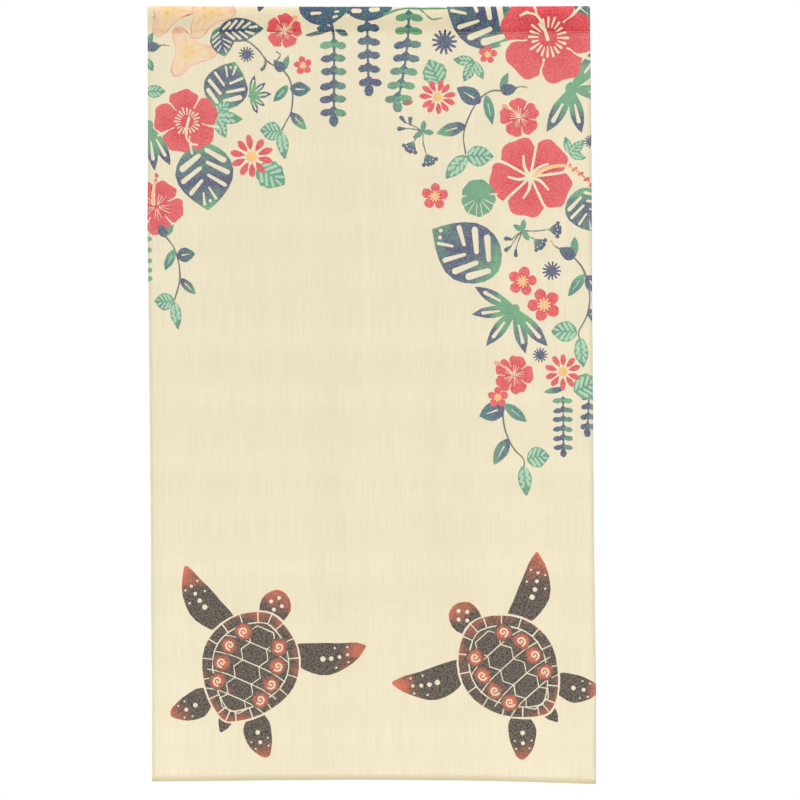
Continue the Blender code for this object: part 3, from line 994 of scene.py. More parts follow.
def print_top_middle(cloth):
    cloth.ink(leaf_outline(46 + 0j, 266, 92, 50, 0.5, 0.6, 0.6), SHADED, fade(-40, 50))
    gaps(cloth, (-29 + 9j, -17 + 9j, 9), (5 + 7j, 18 + 6j, 9), (-40 + 19j, -37 + 17j, 4))
    cloth.ink(leaf_outline(-34 + 0j, 268, 100, 70, 0.56, 0.6, 0.5), SHADED, fade(-130, -30))
    gaps(cloth, (-109 + 14j, -93 + 13j, 6), (-67 + 21j, -61 + 19j, 5), (-64 + 11j, -58 + 10j, 4))
    vine(cloth, [30 + 16j, 66 + 5j, 110 + 5j, 152 + 4j], 5.0, 3.0, FRESH)
    vine(cloth, [98 + 6j, 108 + 14j, 122 + 25j, 140 + 23j], 3.2, 2.6, FRESH)
    vine(cloth, [-12 + 12j, -8 + 24j, -2 + 36j], 4.0, 4.0)
    vine(cloth, [-78 + 20j, -70 + 40j, -67 + 62j], 7.0, 5.0, SHADED)
    for heading, length, width in ((274, 34, 15), (258, 58, 8), (112, 28, 12)):
        cloth.ink(leaf_outline(-66 + 44j, heading, length, width, 0.6, 0.7, 0.6), SHADED, 0.7)
    frond(cloth, -67 + 62j, 26, 27, 23, [0.95, 0.2, 0.25, 0.1, 0.15, 0.2], lean=-0.01)
    frond(cloth, -3 + 30j, 26, 20, 24, [0.6, 0.5, 0.35, 0.1, 0.0], lean=0.02, greener=0.0)
    frond(cloth, 77 + 9j, 26, 27, 27, [1.0, 0.85, 0.35, 0.0, 0.62, 0.75, 0.8], lean=-0.14, greener=0.2)
    cloth.ink(leaf_outline(63 + 186j, 80, 22, 11), Inks(OLIVE, RUST), fade(62 + 186j, 86 + 182j))


def print_top_right(cloth):
    slotted_leaf(cloth, 276 + 58j, 300, 150, 112)
    full_leaf(cloth, 396 - 4j, 130, 48, 26)
    palm_fan(cloth, 388 + 158j, [(40, 112), (100, 100), (168, 88), (210, 96)], 0.3)
    hibiscus(cloth, 344 + 60j, 90, 11, "ringed")
    bare_stamen(cloth, 344 + 64j, 80, 326)
    burst(cloth, 145 + 68j, 24, 4)
    blossom(cloth, 228 + 92j, 18, 8)
    sprig(cloth, 201 + 105j, [(274, 40, 20), (206, 44, 22), (152, 40, 17)])
    toothed_leaf(cloth, 134 + 148j, 338, 50, 42)
    daisy(cloth, 131 + 174j, 34, 12, 11)
    bud(cloth, 252 + 162j, 80, 28, -1)
    vine(cloth, [258 + 161j, 232 + 163j, 208 + 182j, 188 + 218j, 180 + 252j, 184 + 282j])
    full_leaf(cloth, 214 + 184j, 302, 54, 34, SHADED)
    full_leaf(cloth, 224 + 170j, 168, 58, 20, FRESH)
    full_leaf(cloth, 184 + 228j, 254, 58, 26)
    sprig(cloth, 186 + 286j, [(92, 52, 40), (223, 60, 30)])
    spray(cloth, 102 + 240j, [(68 + 222j, 322, "bud"), (78 + 226j, 2, "bud"), (68 + 234j, 268, "bud"),
                              (86 + 258j, 212, "bell"), (108 + 282j, 154, "bell")], (8, 96, 236))
    hibiscus(cloth, 289 + 213j, 38, 350, "veined")
    thin_stamen(cloth, 289 + 213j, 34, 308)
    sprig(cloth, 384 + 283j, [(345, 34, 16), (48, 38, 20), (106, 32, 17)])
    burst(cloth, 424 + 260j, 13, 0)
    slotted_leaf(cloth, 404 + 350j, 162, 88, 86)
    hibiscus(cloth, 308 + 327j, 78, 333, "starred")
    pollen_stamen(cloth, 316 + 325j, [342 + 310j, 384 + 308j, 424 + 340j], 8)
    blossom(cloth, 125 + 364j, 26, 4)
    split_leaf(cloth, 208 + 367j, 176, 34)
    slotted_leaf(cloth, 246 + 508j, 303, 150, 118)
    spray(cloth, 294 + 430j, [(272 + 447j, 280, "bud"), (270 + 460j, 232, "bud"), (280 + 466j, 182, "bud"),
                              (314 + 446j, 132, "bell"), (342 + 428j, 92, "bell")], (2, 300, 152))
    burst(cloth, 348 + 507j, 18, 8)
    blossom(cloth, 292 + 527j, 28, 12)
    blossom(cloth, 333 + 572j, 32, 340)
    palm_fan(cloth, 277 + 580j, [(299, 88), (263, 83), (218, 90), (167, 88), (139, 95)], 0.28)
    bud(cloth, 392 + 482j, 302, 30)
    vine(cloth, [390 + 480j, 410 + 508j, 420 + 552j, 416 + 590j, 400 + 622j, 401 + 640j])
    full_leaf(cloth, 410 + 514j, 216, 52, 20, FRESH)
    full_leaf(cloth, 416 + 516j, 152, 40, 26, SHADED)
    full_leaf(cloth, 418 + 580j, 150, 34, 16, SHADED)
    line_leaf(cloth, 396 + 624j, 272, 50, 40)
    line_leaf(cloth, 401 + 636j, 174, 56, 27)
    burst(cloth, 325 + 668j, 14, 0)
    frond(cloth, 368 + 748j, 17.8, 20, 18, [0.8, 0.2, 0.3, 0.25, 0.2, 0.1])
    frond(cloth, 417 + 740j, 19, 15, 14, [0.2, 0.0, 0.0, 0.0], lean=-0.05)
    cloth.ink(leaf_outline(372 + 732j, 260, 42, 12), LEAF, fade(360 + 734j, 330 + 740j))
    toothed_leaf(cloth, 390 + 738j, 66, 56, 44)
    daisy(cloth, 368 + 700j, 35, 2)
    hibiscus(cloth, 274 + 706j, 38, 16, "veined")
    thin_stamen(cloth, 274 + 706j, 36, 308)
    vine(cloth, [250 + 764j, 253 + 790j, 260 + 822j, 274 + 848j, 292 + 868j, 291 + 886j])
    full_leaf(cloth, 256 + 768j, 250, 52, 36, SHADED)
    full_leaf(cloth, 256 + 762j, 129, 54, 22, FRESH)
    full_leaf(cloth, 263 + 828j, 210, 58, 26)
    line_leaf(cloth, 298 + 866j, 82, 44, 40)
    line_leaf(cloth, 291 + 880j, 174, 58, 26)
    blossom(cloth, 243 + 749j, 20, 0)


def print_foot(cloth):
    turtle(cloth, -238 + 1266j, 24, 222)
    turtle(cloth, 262 + 1266j, 318, 222)


def draw_print():
    """The whole print, as its list of shapes."""
    cloth = Print(seed=7)
    print_top_left(cloth)
    print_top_middle(cloth)
    print_top_right(cloth)
    print_foot(cloth)
    return cloth.shapes


# ---------------------------------------------------------------- the cloth's mesh
GRID = 15 * MM  # spacing of the mesh where the cloth is nearly flat
FOLD_STEP = 3.5 * MM  # and on both sides of a pressed fold
CREASE_FROM, CREASE_TO, CREASE_STEP = -25 * MM, 14 * MM, 3 * MM  # the close columns about the middle fold
WALL_ROWS, WALL_CLOSENESS = 14, 2.4  # rows down a wall of the pocket, closer where it's round at the top

# Rows and columns beside the turns, as distances from them that widen towards the grid
BESIDE_SIDE_HEM = (1.6 * MM, 4.2 * MM, 7.5 * MM, 12.0 * MM)
ABOVE_BOTTOM_HEM = (2.0 * MM, 5.5 * MM, 9.5 * MM, 15.0 * MM)
BELOW_SEAM = (3.0 * MM, 8.0 * MM)

# Within these the triangles may run across rows and columns, as the cloth has no turns there
FREE_TOP, FREE_FOOT, FREE_HALF = 12 * MM, LENGTH - 17 * MM, HALF_WIDTH - 11 * MM

# Where the cloth puckers: a seam, and how far from it finer points lie to both sides
PUCKER_ROWS = ((POCKET_HEIGHT - POCKET_STITCHES, 4 * MM), (LENGTH - BOTTOM_STITCHES, 5 * MM))
PUCKER_STEP = PUCKER_PITCH / 4
PUCKER_HALF = HALF_WIDTH - 13 * MM

SAME_PLACE = 1e-4  # points of the flat cloth that are less than these millimetres apart are one


def spread(start, end, step):
    """Evenly spaced places from start to end, both included, at most a step apart."""
    count = max(int(math.ceil(abs(end - start) / step - 1e-9)), 1)
    return list(np.linspace(start, end, count + 1))


def hem_stations(start, run, tuck):
    """Places through a double hem's two turns, from the start of its first turn."""
    first = start + OUTER_TURN
    second = first + run
    third = second + INNER_TURN
    return (
        spread(start, first, OUTER_TURN / 5)
        + spread(first, second, run / 2)[1:]
        + spread(second, third, INNER_TURN / 4)[1:]
        + [third + tuck]
    )


def beside_folds(places, folds):
    """The places, with three close ones at each fold in the stead of those that lie near it."""
    kept = [place for place in places if min(abs(place - fold) for fold in folds) > GRID / 2]
    return kept + [fold + offset for fold in folds for offset in (-FOLD_STEP, 0, FOLD_STEP)]


def cut_columns():
    """Places across the cut cloth, from one raw edge to the other."""
    start = HALF_WIDTH - LAYER
    beside_hem = [start - offset for offset in BESIDE_SIDE_HEM]
    edge = beside_hem + hem_stations(start, SIDE_RUN, SIDE_TUCK)
    crease = spread(CREASE_FROM, CREASE_TO, CREASE_STEP)
    field = spread(CREASE_TO + GRID / 2, beside_hem[-1] - GRID / 2, GRID)
    field += spread(CREASE_FROM - GRID / 2, -beside_hem[-1] + GRID / 2, GRID)
    field = beside_folds(field, column(SIDE_CREASES, "across"))
    return sorted(crease + field + edge + [-place for place in edge])


def cut_rows():
    """Places along the cut cloth, from the raw edge in the pocket to the raw edge in the bottom hem."""
    turned = -POCKET_HEIGHT - INNER_TURN
    tuck = spread(CUT_TOP, turned, POCKET_TUCK / 2)
    foot_turn = spread(turned, -POCKET_HEIGHT, INNER_TURN / 4)[1:]
    wall = [POCKET_HEIGHT * share**WALL_CLOSENESS for share in np.linspace(0, 1, WALL_ROWS)]
    start = LENGTH - LAYER
    above_hem = [start - offset for offset in ABOVE_BOTTOM_HEM]
    below_seam = [POCKET_HEIGHT + offset for offset in BELOW_SEAM]
    panel = spread(below_seam[-1] + GRID / 2, above_hem[-1] - GRID / 2, GRID)
    for fold in CROSS_FOLDS:
        panel = [row for row in panel if abs(row - fold.down) > GRID / 3] + [fold.down]
    hem = hem_stations(start, BOTTOM_RUN, BOTTOM_TUCK)
    rows = tuck + foot_turn + [-place for place in wall] + wall + below_seam + panel + above_hem + hem
    return sorted(set(round(row, 9) for row in rows))


def inside(places, outline):
    """Which places lie inside a closed outline: those with an odd number of its edges to their right."""
    end = np.roll(outline, -1)
    level = places.imag[:, None]
    passes = (outline.imag > level) != (end.imag > level)
    rise = np.where(end.imag == outline.imag, 1.0, end.imag - outline.imag)
    crossing = outline.real + (level - outline.imag) / rise * (end.real - outline.real)
    return np.sum(passes & (places.real[:, None] < crossing), axis=1) % 2 == 1


def top_shapes(middles, shapes):
    """The last shape that covers each place, or -1 where there's none."""
    shown = np.full(len(middles), -1)
    for number, shape in enumerate(shapes):
        right, down = shape.outline.real, shape.outline.imag
        in_width = (middles.real > right.min()) & (middles.real < right.max())
        in_height = (middles.imag > down.min()) & (middles.imag < down.max())
        near = np.flatnonzero(in_width & in_height)
        shown[near[inside(middles[near], shape.outline)]] = number
    return shown


def cut_and_print(shapes):
    """The flat cloth as triangles, cut along the print's outlines.

    Gives the places of its points as (right, along), the triangles and the shape that shows on each, or -1.
    """
    columns, rows = cut_columns(), cut_rows()
    across_count = len(columns)
    points = [(place, row) for row in rows for place in columns]
    corners = [0, across_count - 1, len(points) - 1, len(points) - across_count]
    edges = [(corners[i - 1], corners[i]) for i in range(4)]
    # rows and columns in and beside the turns are fixed lines, so that no triangle cuts across a turn
    for j, row in enumerate(rows):
        if not FREE_TOP < row < FREE_FOOT:
            edges.extend((j * across_count + i, j * across_count + i + 1) for i in range(across_count - 1))
    for i, place in enumerate(columns):
        if not -FREE_HALF < place < FREE_HALF:
            edges.extend((j * across_count + i, (j + 1) * across_count + i) for j in range(len(rows) - 1))
    for seam, apart in PUCKER_ROWS:
        for row in (seam - apart, seam, seam + apart):
            points.extend((place, row) for place in spread(-PUCKER_HALF, PUCKER_HALF, PUCKER_STEP))
    for shape in shapes:
        base, count = len(points), len(shape.outline)
        points.extend((place.real * MM, place.imag * MM) for place in shape.outline)
        edges.extend((base + i, base + (i + 1) % count) for i in range(count))

    # the triangulation works in millimetres, with the second axis upwards so that the front faces the viewer
    flat = [Vector((x / MM, -y / MM)) for x, y in points]
    out_points, _, triangles, _, _, _ = delaunay_2d_cdt(flat, edges, [], 1, SAME_PLACE, False)
    places = np.array([(point.x * MM, -point.y * MM) for point in out_points])
    triangles = np.array(triangles)
    across, down = places[triangles].mean(axis=1).T
    # the print runs past the cloth's edges, and what lies out there is dropped
    on_cloth = (across > columns[0]) & (across < columns[-1]) & (down > rows[0]) & (down < rows[-1])
    used, triangles = np.unique(triangles[on_cloth], return_inverse=True)
    places, triangles = places[used], triangles.reshape(-1, 3)
    middles = (across + 1j * down)[on_cloth] / MM
    return places, triangles, top_shapes(middles, shapes)


def lay_inks(mesh, places, triangles, shown, shapes):
    """Stores the inks at the triangles' corners.

    `ink_one` holds the first colour and, as its alpha, how far the ink has gone to the second. `ink_two`
    holds the second colour and, as its alpha, whether there is ink.
    """
    one = np.zeros((len(triangles), 3, 4))
    two = np.zeros((len(triangles), 3, 4))
    flat = places[:, 0] / MM + 1j * places[:, 1] / MM
    for number, shape in enumerate(shapes):
        chosen = shown == number
        if shape.inks is None or not chosen.any():
            continue
        where = flat[triangles[chosen]]
        one[chosen] = linear(shape.inks.one)
        one[chosen, :, 3] = shape.blend(where) if callable(shape.blend) else shape.blend
        two[chosen] = linear(shape.inks.two)
    for name, values in (("ink_one", one), ("ink_two", two)):
        layer = mesh.attributes.new(name, "FLOAT_COLOR", "CORNER")
        layer.data.foreach_set("color", values.astype(np.float32).ravel())


def make_cloth(shapes):
    """The printed cloth, hemmed and hung, as one thin sheet."""
    places, triangles, shown = cut_and_print(shapes)
    mesh = bpy.data.meshes.new("noren_cloth")
    mesh.from_pydata(np.stack(hang(*places.T), axis=1).tolist(), [], triangles.tolist())
    lay_inks(mesh, places, triangles, shown, shapes)
    # where each point lies on the flat cloth, and which way its printed side faces
    cut_places = np.column_stack([places, np.zeros(len(places))])
    normals = np.array([normal.vector for normal in mesh.vertex_normals])
    for name, vectors in (("cut_place", cut_places), ("printed_side", normals)):
        layer = mesh.attributes.new(name, "FLOAT_VECTOR", "POINT")
        layer.data.foreach_set("vector", vectors.astype(np.float32).ravel())
    mesh.shade_smooth()
    cloth = add_object("noren_cloth", mesh)
    thickness = cloth.modifiers.new("thickness", "SOLIDIFY")
    thickness.thickness = SHEET
    thickness.offset = 0
    return cloth


# ---------------------------------------------------------------- stitching
STITCH_PITCH = 3.2 * MM
STITCH_LENGTH = 2.4 * MM
STITCHES_FROM = 1.5 * MM  # how far from the cloth's edges a row of stitches starts and ends
SEAM_STEP = 1 * MM  # how closely a seam follows the cloth
THREAD = 0.45 * MM  # drawn a little thicker than the real 0.3 mm thread
THREAD_SIDES = 5

# The rings of thread points along a stitch: the share of its length, and as shares of the thread's thickness
# how thick it is there and how far its middle is lifted off the cloth
StitchRing = namedtuple("StitchRing", "share thick lift")
STITCH_RINGS = [
    StitchRing(0.0, 0.4, -0.3),
    StitchRing(0.25, 1.0, 0.3),
    StitchRing(0.75, 1.0, 0.3),
    StitchRing(1.0, 0.4, -0.3),
]


def stitch(start, end, outwards):
    """One stitch as points and faces: a short thread that rises from the cloth between its two ends."""
    side = np.cross(end - start, outwards)
    side /= np.linalg.norm(side)
    turns = np.arange(THREAD_SIDES) * 2 * math.pi / THREAD_SIDES
    points = []
    for ring in STITCH_RINGS:
        middle = start + ring.share * (end - start) + ring.lift * THREAD * outwards
        for turn in turns:
            rim = math.cos(turn) * side + math.sin(turn) * outwards
            points.append(middle + ring.thick * THREAD / 2 * rim)
    faces = [tuple(range(THREAD_SIDES)), tuple(reversed(range(len(points) - THREAD_SIDES, len(points))))]
    for base in range(0, len(points) - THREAD_SIDES, THREAD_SIDES):
        for here in range(THREAD_SIDES):
            corners = (base + here, base + (here + 1) % THREAD_SIDES)
            faces.append((corners[0], corners[0] + THREAD_SIDES, corners[1] + THREAD_SIDES, corners[1]))
    return points, faces


# A seam's thread as it shows on one side: its places on the cut cloth, which way it faces (-1 is the front)
# and how far behind those places it lies
Seam = namedtuple("Seam", "right along facing behind")


def seams():
    """Both sides of each seam; those of the side hems run on down the pocket's back wall."""
    half = HALF_WIDTH - STITCHES_FROM
    across = np.array(spread(-half, half, SEAM_STEP))
    for along in (POCKET_HEIGHT - POCKET_STITCHES, LENGTH - BOTTOM_STITCHES):
        level = np.full(len(across), along)
        yield Seam(across, level, -1, np.zeros(len(across)))
        yield Seam(across, level, 1, 2 * outer_radius(layers_at(across)))
    for side in (-1, 1):
        right = side * (HALF_WIDTH - SIDE_STITCHES)
        down = np.array(spread(STITCHES_FROM, LENGTH - STITCHES_FROM, SEAM_STEP))
        place = np.full(len(down), right)
        yield Seam(place, down, -1, np.zeros(len(down)))
        yield Seam(place, down, 1, np.full(len(down), 2 * outer_radius(1)))
        back = np.array(spread(-POCKET_HEIGHT + STITCHES_FROM, -STITCHES_FROM, SEAM_STEP))
        yield Seam(np.full(len(back), right), back, 1, np.zeros(len(back)))


def make_stitching():
    """Every stitch of the hems and the pocket, on both sides, as one joined mesh."""
    points, faces = [], []
    for seam in seams():
        outwards = np.array([0.0, seam.facing, 0.0])
        line = np.stack(hang(seam.right, seam.along), axis=1)
        line[:, 1] += seam.behind
        line += outwards * SHEET / 2
        travelled = np.concatenate([[0], np.cumsum(np.linalg.norm(np.diff(line, axis=0), axis=1))])
        starts = np.arange(0, travelled[-1] - STITCH_LENGTH, STITCH_PITCH)
        begins, ends = (
            np.stack([np.interp(places, travelled, line[:, axis]) for axis in range(3)], axis=1)
            for places in (starts, starts + STITCH_LENGTH)
        )
        for begin, end in zip(begins, ends):
            new_points, new_faces = stitch(begin, end, outwards)
            faces.extend(tuple(len(points) + corner for corner in face) for face in new_faces)
            points.extend(new_points)
    mesh = bpy.data.meshes.new("hem_stitching")
    mesh.from_pydata([tuple(point) for point in points], [], faces)
    mesh.shade_smooth()
    return add_object("hem_stitching", mesh)


# ---------------------------------------------------------------- materials
CLOTH_LIGHT = "#E4DCC5"  # unbleached slub cotton, where its threads lie thin
CLOTH_DARK = "#DFD7BE"  # and where a thick slub shows
PAINTED_SHADE_COLOUR = "#CBBC8C"  # painted shade: the colour the doubled cloth tends to, as less light comes through it
THREAD_COLOUR = "#E9DDBD"
CLOTH_FINISH = {"Roughness": 0.92, "Specular IOR Level": 0.25, "Sheen Weight": 0.08, "Sheen Roughness": 0.5}
THREAD_FINISH = {"Roughness": 0.85, "Specular IOR Level": 0.3}
TWIST_SCALE = 500.0  # gives one slanting stripe of painted shade, for a ridge of the twist, in each 1.26 mm of the thread

# The cloth's unevenness, as the sizes in millimetres of its spots across and along the cloth. Upright and
# level slubs are single thick threads some centimetres long, and the bands are broad and faint. The crowns of
# the threads are 0.6 mm apart on the real cloth, and drawn 2.1 mm apart so that the speckle shows from a few
# metres. The patches are those in which an ink's two colours run into each other.
Spots = namedtuple("Spots", "name across along detail")
SPOTS = [
    Spots("upright", 3.6, 80, 2.0),
    Spots("level", 60, 4.4, 1.5),
    Spots("upright_crowns", 2.1, 4.8, 1.0),
    Spots("level_crowns", 4.8, 2.1, 1.0),
    Spots("bands", 45, 700, 1.0),
    Spots("patches", 26, 30, 2.0),
]
LEVEL_SHARE, BAND_SHARE = 0.4, 0.35  # how much these show, next to the upright slubs
SLUB_FROM, SLUB_TO = 0.66, 1.1  # sums of the three where the cloth is lightest and where it's darkest
CROWNS_FROM, CROWNS_TO = 0.19, 0.33  # products of the crowns where the ink is thinnest, and where it's full
CROWN_HEIGHT = 1.2  # of the crowns in the weave's relief, next to the slubs
WEAVE_DEPTH, WEAVE_STRENGTH = 0.25 * MM, 0.35

# How far the bare cloth goes to the painted shade colour of the doubled cloth, and how much of its full
# strength an ink has: paler on the single cloth by painted light, stronger in the pocket
POCKET_PAINTED_SHADE, SIDE_HEM_PAINTED_SHADE, BOTTOM_HEM_PAINTED_SHADE = 0.24, 0.1, 0.66
SINGLE_STRENGTH_PAINTED_LIGHT, DOUBLED_STRENGTH_PAINTED_SHADE = 0.96, 1.04
DOUBLED_INK_SHADE_GAMMA, TUCKED_INK_SHADE_GAMMA = 0.15, 0.25  # painted shade: by how much an ink is deeper on two layers, and again on the tuck
POCKET_PAINTED_LIGHT = 1.12  # painted light: how much of the light the pocket's two layers send back, next to one, added to its colour
EDGE_BLUR, TUCK_BLUR = 1 * MM, 2 * MM  # to each side of a hem's or the pocket's edge, and of the tucked edge
FOOT_SHADE_FULL = 2 * MM  # from here to its lower edge the bottom hem's painted shade is darkest
STRUCK_THROUGH = 0.6  # share of an ink's strength that has gone through to the cloth's back
FACING = 0.5  # the cosine to the printed side from which a face is all front; all back below minus this
SPECKLE = 0.16  # share of an ink that is missing in the deepest hollows between the crowns of the threads
PATCH_SWING = 0.6  # by how much the patches shift an ink towards its first or its second colour
LIGHT_THROUGH = 0.3  # share of the light that comes through the thin cloth


def add_node(tree, kind, inputs=None, **settings):
    """A shader node. An input, by name or number, is a value, an output or a node's first output in use."""
    made = tree.nodes.new(kind)
    for name, value in settings.items():
        setattr(made, name, value)
    for socket, value in (inputs or {}).items():
        if isinstance(value, bpy.types.Node):
            value = next(output for output in value.outputs if output.enabled)
        if isinstance(value, bpy.types.NodeSocket):
            tree.links.new(value, made.inputs[socket])
        else:
            made.inputs[socket].default_value = value
    return made


def start_material(name, finish):
    """A new material and its surface shader, with the finish as the values of the shader's named inputs."""
    made = bpy.data.materials.new(name)
    made.use_nodes = True
    shader = made.node_tree.nodes["Principled BSDF"]
    for socket, value in finish.items():
        shader.inputs[socket].default_value = value
    return made, shader


def cloth_spots(tree, cut):
    """The cloth's unevenness by name, laid out on the cloth as it was cut."""
    spots = {}
    for name, across, along, detail in SPOTS:
        sized = add_node(tree, "ShaderNodeVectorMath", {0: cut, 1: (1 / (across * MM), 1 / (along * MM), 1)},
                         operation="MULTIPLY")
        spots[name] = add_node(tree, "ShaderNodeTexNoise", {"Vector": sized, "Scale": 1.0, "Detail": detail},
                               noise_dimensions="2D")
    return spots


def bare_cloth(tree, slubs, bands, in_pocket, place):
    """The colour of the bare cloth: streaked by its slubs, and darker in the pocket and the hems by painted
    shade.
    """
    banded = add_node(tree, "ShaderNodeMath", {0: bands, 1: BAND_SHARE, 2: slubs}, operation="MULTIPLY_ADD")
    slub_tone = add_node(tree, "ShaderNodeMapRange", {"Value": banded, "From Min": SLUB_FROM,
                                                      "From Max": SLUB_TO})
    single = add_node(tree, "ShaderNodeMix", {0: slub_tone, 6: linear(CLOTH_LIGHT), 7: linear(CLOTH_DARK)},
                      data_type="RGBA")
    off_middle = add_node(tree, "ShaderNodeMath", {0: place["X"]}, operation="ABSOLUTE")
    hem_edge = HALF_WIDTH - SIDE_HEM
    # painted shade of the doubled side hems
    side_hem_shade = add_node(tree, "ShaderNodeMapRange", {"Value": off_middle, "To Max": SIDE_HEM_PAINTED_SHADE,
                                                    "From Min": hem_edge - EDGE_BLUR,
                                                    "From Max": hem_edge + EDGE_BLUR})
    # painted shade: the bottom hem grows darker to its edge
    foot_shade = add_node(tree, "ShaderNodeMapRange", {"Value": place["Y"], "To Max": BOTTOM_HEM_PAINTED_SHADE,
                                                    "From Min": LENGTH - BOTTOM_HEM,
                                                    "From Max": LENGTH - FOOT_SHADE_FULL})
    pocket_shade = add_node(tree, "ShaderNodeMath", {0: in_pocket, 1: POCKET_PAINTED_SHADE}, operation="MULTIPLY")
    hem_shade = add_node(tree, "ShaderNodeMath", {0: side_hem_shade, 1: foot_shade}, operation="MAXIMUM")
    # tone: how far the bare cloth goes to the painted shade colour, in the pocket and the hems
    tone = add_node(tree, "ShaderNodeMath", {0: pocket_shade, 1: hem_shade}, operation="MAXIMUM")
    return add_node(tree, "ShaderNodeMix", {0: tone, 6: single, 7: linear(PAINTED_SHADE_COLOUR)}, data_type="RGBA")


def ink_colour(tree, one, two, patches, in_pocket, place):
    """The colour of an ink: its two colours run into each other in patches, and painted shade makes it deeper
    in the pocket.
    """
    swing = add_node(tree, "ShaderNodeMapRange", {"Value": patches, "To Min": -PATCH_SWING,
                                                  "To Max": PATCH_SWING})
    blend = add_node(tree, "ShaderNodeMath", {0: one["Alpha"], 1: swing}, operation="ADD", use_clamp=True)
    brushed = add_node(tree, "ShaderNodeMix", {0: blend, 6: one["Color"], 7: two["Color"]}, data_type="RGBA")
    tuck_top = POCKET_HEIGHT - POCKET_TUCK
    tuck_ink_shade = add_node(tree, "ShaderNodeMapRange", {"Value": place["Y"], "To Max": TUCKED_INK_SHADE_GAMMA,
                                                    "From Min": tuck_top - TUCK_BLUR,
                                                    "From Max": tuck_top + TUCK_BLUR})
    # painted shade: a gamma above 1 that darkens the inks in the pocket, and more on the tuck
    deeper = add_node(tree, "ShaderNodeMath", {0: tuck_ink_shade, 1: DOUBLED_INK_SHADE_GAMMA}, operation="ADD")
    depth = add_node(tree, "ShaderNodeMath", {0: in_pocket, 1: deeper, 2: 1.0}, operation="MULTIPLY_ADD")
    return add_node(tree, "ShaderNodeGamma", {"Color": brushed, "Gamma": depth})


def ink_cover(tree, ink_there, crowns, in_pocket):
    """How much of the cloth an ink hides: less between the crowns of the threads, less on the back, and, as
    painted light, less on the single cloth than in the pocket.
    """
    laid = add_node(tree, "ShaderNodeMapRange", {"Value": crowns, "To Min": 1 - SPECKLE, "To Max": 1.0,
                                                 "From Min": CROWNS_FROM, "From Max": CROWNS_TO})
    # painted light and shade: the ink is paler on the single cloth, which light comes through, and stronger
    # on the doubled pocket
    painted_light_strength = add_node(tree, "ShaderNodeMapRange", {"Value": in_pocket, "To Min": SINGLE_STRENGTH_PAINTED_LIGHT,
                                                     "To Max": DOUBLED_STRENGTH_PAINTED_SHADE})
    strong = add_node(tree, "ShaderNodeMath", {0: ink_there, 1: painted_light_strength}, operation="MULTIPLY")
    way_out = add_node(tree, "ShaderNodeNewGeometry").outputs["True Normal"]
    printed_side = add_node(tree, "ShaderNodeAttribute", attribute_name="printed_side").outputs["Vector"]
    faces_out = add_node(tree, "ShaderNodeVectorMath", {0: way_out, 1: printed_side}, operation="DOT_PRODUCT")
    on_face = add_node(tree, "ShaderNodeMapRange", {"Value": faces_out, "From Min": -FACING,
                                                    "From Max": FACING, "To Min": STRUCK_THROUGH,
                                                    "To Max": 1.0})
    ink_seen = add_node(tree, "ShaderNodeMath", {0: strong, 1: on_face}, operation="MULTIPLY")
    return add_node(tree, "ShaderNodeMath", {0: laid, 1: ink_seen}, operation="MULTIPLY", use_clamp=True)


